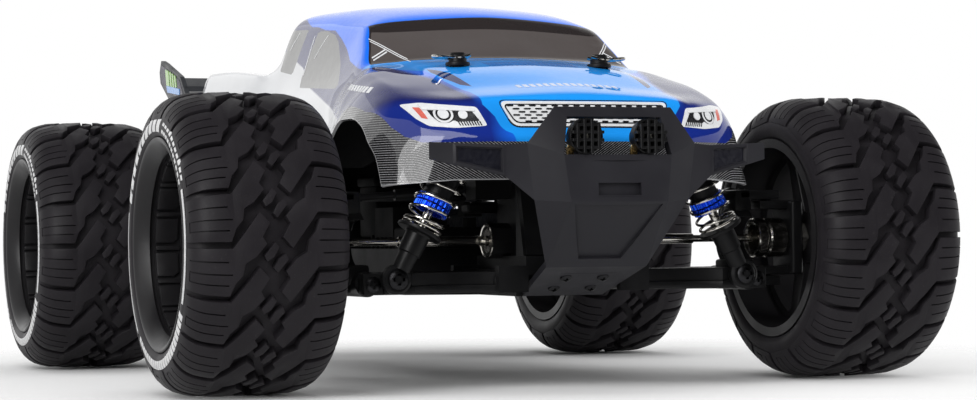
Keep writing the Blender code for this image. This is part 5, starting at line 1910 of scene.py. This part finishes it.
@dataclass
class Decals:
    """Printed film on the shell: lamp faces, grille, window cage and plain dashes."""

    target: Piece
    mesh: float = 0.9
    film: float = 0.09
    lamp: Outline = (
        (70.6, 114.5), (63.8, 115.1), (53.9, 113.6), (45.3, 112.9), (41.8, 105.3), (53.8, 104.5),
        (63.1, 105.4), (67.1, 108.6))
    brow: Outline = (
        (62.6, 112.3), (58.0, 112.5), (47.4, 111.4), (44.6, 107.2), (53.0, 106.9), (54.2, 107.6),
        (56.0, 106.6), (59.4, 106.9), (61.6, 109.4))
    lid: Outline = ((64.6, 114.6), (46.0, 112.6), (46.2, 110.9), (64.0, 111.9))
    marker: Outline = ((66.9, 113.2), (64.6, 113.0), (62.9, 108.2), (65.0, 108.7))
    lens: Point = (57.4, 110.0)
    bulb: Point = (50.6, 109.7)
    grille_top: float = 37.3
    grille_foot: float = 32.0
    grille_high: float = 115.7
    grille_low: float = 104.5
    grille_rows: Numbers = (107.0, 113.6, 1.24)
    grille_borders: Numbers = (0.0, 0.6, 1.7, 2.2)
    tooth: Outline = ((53.0, 107.1), (52.5, 107.1), (51.8, 105.4), (52.3, 105.4))
    dash: Outline = ((-1.5, 0.0), (-1.1, 0.32), (1.1, 0.32), (1.5, 0.0), (1.1, -0.32), (-1.1, -0.32))
    hood_dash: Outline = ((-0.9, -171.4), (0.9, -171.4), (1.1, -166.4), (-0.7, -166.4))
    hood_dashes: Numbers = (-21.0, 22.0, 3.0)
    fender_dash: Outline = ((0.0, 0.0), (3.0, 0.3), (3.6, 2.7), (0.6, 2.4))
    fender_dashes: Numbers = (-138.0, -100.0, 4.6)
    fender_line: Curve = ((-140.0, -95.0), (120.4, 124.6))
    front_bars: Outline = ((55.2, 147.6, 43.6, 137.9), (57.4, 138.6, 50.4, 142.6))
    side_bars: Outline = (
        (8.6, 157.2, 19.3, 149.0), (-31.4, 152.6, -20.0, 143.0), (-14.0, 153.8, -8.6, 136.0))
    ahead: float = -260.0
    beside: float = 120.0
    above: float = 220.0

    def lay(self, outlines: Sequence[Outline], across: Across, far: float, layers: int = 1) -> Piece:
        """Press flat outlines onto the shell.

        Args:
            outlines: Corner lists in the two axes other than across.
            across: The axis that they are pressed along.
            far: Where they start on it.
            layers: How many films thick they stand out.

        Returns:
            The film.
        """
        film = join(*[sheet(outline, far, across) for outline in outlines])
        box = np.array(film.bound_box)
        for axis, low, high in zip(range(3), box.min(axis=0), box.max(axis=0)):
            if axis != across.index:
                split(film, axis, low + self.mesh * (np.arange(int((high - low) / self.mesh)) + 0.5))
        apply(film, "TRIANGULATE")
        apply(film, "SHRINKWRAP", target=self.target, wrap_method="PROJECT",
              use_positive_direction=far < 0.0, use_negative_direction=far > 0.0,
              **{f"use_project_{across.value}": True})
        choose(film, lambda each: each.normal[across.index] * far < 0.0)
        bpy.ops.mesh.flip_normals()
        done()
        return apply(film, "SOLIDIFY", thickness=layers * self.film, offset=1.0)

    def front(self, shapes: Sequence[Outline], layers: int = 1) -> Piece:
        """Film on both halves of the nose, from outlines of the left half as (x, z)."""
        both = [[(sign * x, z) for x, z in shape] for shape in shapes for sign in (1, -1)]
        return self.lay(both, Across.Y, self.ahead, layers)

    def flanks(self, shapes: Sequence[Outline], layers: int = 1) -> Piece:
        """Film on both flanks, from outlines as (y, z)."""
        return join(*[self.lay(shapes, Across.X, far, layers) for far in (-self.beside, self.beside)])

    @staticmethod
    def disc(centre: Point, radius: float) -> Outline:
        """A round outline."""
        turns = [math.tau * step / 28 for step in range(28)]
        return [(centre[0] + radius * math.cos(turn), centre[1] + radius * math.sin(turn)) for turn in turns]

    def frame(self, inset: float) -> Outline:
        """The grille's outline, moved inward.

        Args:
            inset: How far inward.

        Returns:
            The rounded outline as (x, z).
        """
        top, foot = self.grille_top - 1.3 * inset, self.grille_foot - 0.8 * inset
        high, low = self.grille_high - inset, self.grille_low + inset
        return rounded([(-top, high), (top, high), (foot, low), (-foot, low)], 3.4 - 0.6 * inset)

    def lamps(self) -> None:
        """The printed lamp faces."""
        teeth = [[(x - step, z) for x, z in self.tooth] for step in range(9)]
        white = [self.front([rounded(self.lamp, 1.2)]), self.front([self.disc(self.lens, 3.4)], 3),
                 self.front([self.disc(self.lens, 1.9), self.disc(self.bulb, 1.7)], 5),
                 self.front([rounded(self.lid, 0.3)], 6)]
        dark = [self.front([rounded(self.brow, 0.5), *teeth], 2), self.front([self.disc(self.lens, 2.6)], 4)]
        fit(join(*white), "lamp_print_white", Finish.WHITE_FILM)
        fit(join(*dark), "lamp_print_dark", Finish.DARK_FILM)
        fit(self.front([rounded(self.marker, 0.3)], 2), "lamp_print_amber", Finish.AMBER)

    def grille(self) -> None:
        """The printed grille: border lines and staggered dashes."""
        dashes = []
        for row, z in enumerate(np.arange(*self.grille_rows)):
            reach = np.interp(z, (self.grille_low, self.grille_high),
                              (self.grille_foot, self.grille_top)) - 3.8
            dashes += [[(x + across, z + up) for across, up in self.dash]
                       for x in np.arange(-34.5 + 2.3 * (row % 2), 36.0, 4.6) if abs(x) < reach]
        borders = [self.lay([self.frame(inset)], Across.Y, self.ahead, step + 1)
                   for step, inset in enumerate(self.grille_borders)]
        dark = [*borders[::2], self.lay(dashes, Across.Y, self.ahead, 5)]
        fit(join(*dark), "grille_dark", Finish.DARK_FILM)
        fit(join(*borders[1::2]), "grille_white", Finish.WHITE_FILM)

    def dashes(self) -> None:
        """Plain dashes on the hood and the fenders."""
        hood = [[(x + across, y) for across, y in self.hood_dash] for x in np.arange(*self.hood_dashes)]
        sides = [[(y + along, np.interp(y, *self.fender_line) + up) for along, up in self.fender_dash]
                 for y in np.arange(*self.fender_dashes)]
        fit(self.lay(hood, Across.Z, self.above), "hood_dashes", Finish.SILVER)
        fit(self.flanks(sides, 2), "fender_dashes", Finish.WHITE_FILM)

    def cage(self) -> None:
        """The window cage's bars, seen through the lower corners of the windshield."""
        front = [[(ax, az - shift), (ax, az - shift - 0.5), (bx, bz - shift - 0.5), (bx, bz - shift)]
                 for ax, az, bx, bz in self.front_bars for shift in (0.0, 1.2)]
        flank = [[(ay, az), (ay + 0.8, az), (by + 0.8, bz), (by, bz)] for ay, az, by, bz in self.side_bars]
        fit(join(self.front(front), self.flanks(flank)), "cage_bars", Finish.WHITE_FILM)

    def build(self) -> None:
        """Lay every film."""
        for make in (self.lamps, self.grille, self.dashes, self.cage):
            make()
        bpy.data.objects.remove(self.target)


@dataclass
class Trim:
    """Receiver box behind the speed control, and plain patches on the wing's end plates."""

    low: Point = (-40.0, -40.0, 62.0)
    high: Point = (-13.0, -14.0, 89.0)
    lid: float = 4.0
    plate_x: float = 74.4
    film: float = 0.3
    bars: Sequence[Outline] = (
        ((184.0, 141.5), (187.0, 141.8), (189.5, 148.5), (186.5, 148.0)),
        ((189.0, 142.0), (192.0, 142.3), (194.5, 149.8), (191.5, 149.2)),
        ((194.0, 142.5), (197.0, 142.8), (199.5, 151.0), (196.5, 150.4)),
        ((199.0, 143.0), (206.0, 144.0), (208.5, 152.8), (201.5, 151.4)))
    corner: Outline = ((178.0, 137.4), (204.0, 140.2), (206.0, 144.0), (178.0, 140.6))
    panel: Outline = (
        (172.0, 137.6), (176.4, 136.2), (203.4, 139.2), (218.6, 147.2), (220.6, 152.0), (218.0, 155.6),
        (210.4, 153.8), (179.0, 145.0))

    def receiver(self) -> Piece:
        """The receiver box: tub, lid with a lip, and its screws.

        Returns:
            The new piece.
        """
        x, y, z = self.low
        far_x, far_y, top = self.high
        tub = block((x + 1.0, y + 1.0, z), (far_x - 1.0, far_y - 1.0, top - self.lid), 1.2)
        lid = block((x, y, top - self.lid), (far_x, far_y, top), 1.2, 3)
        cut(lid, block((x + 4.0, y + 4.0, top - 0.8), (far_x - 4.0, far_y - 4.0, top + 2.0)))
        screws = [screw((sx, sy, top), UP, 1.6, 1.0)
                  for sx in (x + 2.4, far_x - 2.4) for sy in (y + 2.4, far_y - 2.4)]
        return join(tub, lid, *screws)

    def patch(self, outlines: Sequence[Outline], top: float) -> Piece:
        """Film on both wing end plates, from outlines as (y, z), with its outer face at a distance."""
        return join(*[plate(rounded(outline, 0.6), *sorted((side * top, side * (top - self.film))),
                            Across.X) for outline in outlines for side in (-1, 1)])

    def build(self) -> None:
        """Make the box and the patches, and fit them."""
        over = self.plate_x + self.film
        # The receiver box is darker partly as painted shade, not only as matte nylon.
        fit(self.receiver(), "receiver_box", Finish.DULL)
        fit(self.patch([self.panel], self.plate_x), "wing_panels", Finish.PLATE)
        fit(self.patch(self.bars, over), "wing_bars", Finish.GREEN)
        fit(self.patch([self.corner], over), "wing_stripe", Finish.AZURE)


@dataclass
class Hidden:
    """CAD nodes that keep their shape and get a better finish."""

    finishes: Sequence[tuple[Finish, str]] = (
        (Finish.BLACK,
         "chassis front_gearbox rear_gearbox front_shock_tower rear_shock_tower spur_gear drag_link"),
        (Finish.DULL, "speed_control steering_servo servo_saver"), (Finish.WING, "rear_wing"),
        (Finish.STEEL, "pinion_gear tie_rod_left tie_rod_right"), (Finish.CAN, "motor"),
        (Finish.CELL, "battery"))

    def build(self, nodes: dict[str, Piece]) -> None:
        """Dress the nodes.

        Args:
            nodes: The frame's node objects by name.
        """
        for finish, names in self.finishes:
            for name in names.split():
                for part in nodes[name].material_slots:
                    part.material = finish.material()
                LOG.info("node %s dressed", name)


class Lamp(Enum):
    """What a lamp is for, by the rays that do not see it."""

    FORM = "glossy"
    GLEAM = "diffuse"
    FULL = "transmission"


@dataclass
class Studio:
    """Camera, soft lights, white surroundings and a pale floor that keeps the shadow."""

    place: Point = (-399.1, -1129.3, 61.9)
    yaw: float = 20.79
    pitch: float = 0.81
    roll: float = -0.66
    lens: float = 94.52
    sensor: float = 36.0
    floor: float = 3.0
    drop: float = 0.0002
    ambient: float = 0.55
    left: float = -1.25
    right: float = 3.0
    front: float = -1.6
    hem: float = -0.3
    ceiling: float = 1.3
    back: float = 1.7
    lamps: Sequence[tuple[str, Point, Point, float, float, Lamp]] = (
        ("key", (-1.0, -1.2, 1.0), (0.0, -0.05, 0.08), 1.1, 16.0, Lamp.FULL),
        ("fill", (1.2, -1.1, 0.8), (0.0, 0.0, 0.08), 0.9, 10.0, Lamp.FORM),
        ("top", (0.0, 0.2, 1.8), (0.0, 0.0, 0.1), 1.4, 7.0, Lamp.FORM),
        ("gleam", (-1.54, -1.22, 0.5), (-0.07, -0.19, 0.1), 0.95, 14.0, Lamp.GLEAM),
        ("back_gleam", (-1.1, 2.6, 0.75), (0.0, 0.0, 0.1), 1.6, 4.0, Lamp.GLEAM))

    def camera(self) -> None:
        """Place the camera as the photograph has it."""
        data = bpy.data.cameras.new("camera")
        data.lens = self.lens
        data.sensor_width = self.sensor
        data.sensor_fit = "HORIZONTAL"
        data.clip_end = 20.0
        camera = bpy.data.objects.new("camera", data)
        bpy.context.collection.objects.link(camera)
        turn = HERE.copy()
        for angle, axis in ((-self.yaw, "Z"), (90.0 + self.pitch, "X"), (self.roll, "Z")):
            turn @= Matrix.Rotation(math.radians(angle), 4, axis)
        camera.matrix_world = Matrix.Translation(Vector(self.place) * MM) @ turn
        bpy.context.scene.camera = camera

    def light(self, name: str, place: Point, target: Point, size: float, power: float, use: Lamp) -> None:
        """A soft square light.

        Args:
            name: Its name.
            place: Where it hangs, in metres.
            target: What it points at.
            size: Edge length in metres.
            power: Watts.
            use: What it is for.
        """
        data = bpy.data.lights.new(name, "AREA")
        data.size = size
        data.energy = power
        lamp = bpy.data.objects.new(name, data)
        bpy.context.collection.objects.link(lamp)
        lamp.visible_camera = False
        setattr(lamp, f"visible_{use.value}", False)
        lamp.matrix_world = aimed(place, Vector(target) - Vector(place), "-Z")

    def world(self) -> None:
        """White for what the camera and reflections see, softer as light."""
        world = bpy.data.worlds.new("white")
        world.use_nodes = True
        bpy.context.scene.world = world
        tree = world.node_tree
        back = tree.nodes["Background"]
        back.inputs["Color"].default_value = (1.0, 1.0, 1.0, 1.0)
        rays = tree.nodes.new("ShaderNodeLightPath")
        strongest = rays.outputs["Is Camera Ray"]
        for name in ("Is Glossy Ray", "Is Transmission Ray"):
            largest = tree.nodes.new("ShaderNodeMath")
            largest.operation = "MAXIMUM"
            tree.links.new(strongest, largest.inputs[0])
            tree.links.new(rays.outputs[name], largest.inputs[1])
            strongest = largest.outputs[0]
        span = tree.nodes.new("ShaderNodeMapRange")
        span.inputs["To Min"].default_value = self.ambient
        tree.links.new(strongest, span.inputs["Value"])
        tree.links.new(span.outputs["Result"], back.inputs["Strength"])

    def ground(self) -> None:
        """The pale floor, clear away from the truck."""
        floor = primitive("plane", size=self.floor, location=(0.0, 0.0, -self.drop))
        floor.name = "floor"
        recipe = Recipe("floor")
        place = recipe.place((0.0028, 0.0026, 0.0))
        reach = recipe.add("TexGradient", {"Vector": place}, gradient_type="SPHERICAL").outputs["Fac"]
        recipe.put(Base_Color=(0.9, 0.9, 0.9), Roughness=0.8, Specular_IOR_Level=0.1,
                   Alpha=recipe.span(reach, 0.0, 1.0, 0.0, 0.5))
        floor.data.materials.append(recipe.material)

    def cloth(self, name: str, corners: Outline, fade: Numbers) -> None:
        """A dark cloth that only reflections see.

        Args:
            name: Its name.
            corners: Its corners in metres, row by row.
            fade: How solid it is at each corner.
        """
        cloth = primitive("plane", size=1.0)
        cloth.name = name
        solid = cloth.data.attributes.new("solid", "FLOAT", "POINT")
        for vertex, corner, value in zip(cloth.data.vertices, corners, fade):
            vertex.co = corner
            solid.data[vertex.index].value = value
        recipe = Recipe(name)
        recipe.put(Base_Color=(0.02, 0.02, 0.02), Roughness=1.0, Specular_IOR_Level=0.0,
                   Alpha=recipe.span(recipe.attribute("solid"), 0.0, 1.0, 0.0, 1.0))
        cloth.data.materials.append(recipe.material)
        for ray in ("camera", "diffuse", "shadow", "transmission", "volume_scatter"):
            setattr(cloth, f"visible_{ray}", False)

    def cloths(self) -> None:
        """Dark cloths in front of the truck and over it."""
        low, high, far = [[(x, y, z) for x in (self.left, self.right)] for y, z in (
            (self.front, self.hem), (self.front, self.ceiling), (self.back, self.ceiling))]
        self.cloth("front_cloth", low + high, (1.0, 1.0, 1.0, 1.0))
        self.cloth("ceiling_cloth", high + far, (3.0, 3.0, 0.0, 0.0))

    def build(self) -> None:
        """Set up the studio."""
        self.camera()
        self.cloths()
        self.world()
        self.ground()
        for lamp in self.lamps:
            self.light(*lamp)
        bpy.context.scene.view_settings.view_transform = "Standard"


def main() -> None:
    """Build the truck's looks piece by piece."""
    logging.basicConfig(level=logging.INFO, format="%(message)s")
    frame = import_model()
    for assembly in (Tyre, Rim, Axle, Suspension, CoilOver, Bumper):
        LOG.info("assembly %s", assembly.__name__)
        assembly().build()
    Decals(BodyShell().build()).build()
    Trim().build()
    Hidden().build(frame["nodes"])
    Studio().build()
    bpy.context.view_layer.update()


if __name__ == "__main__":
    main()
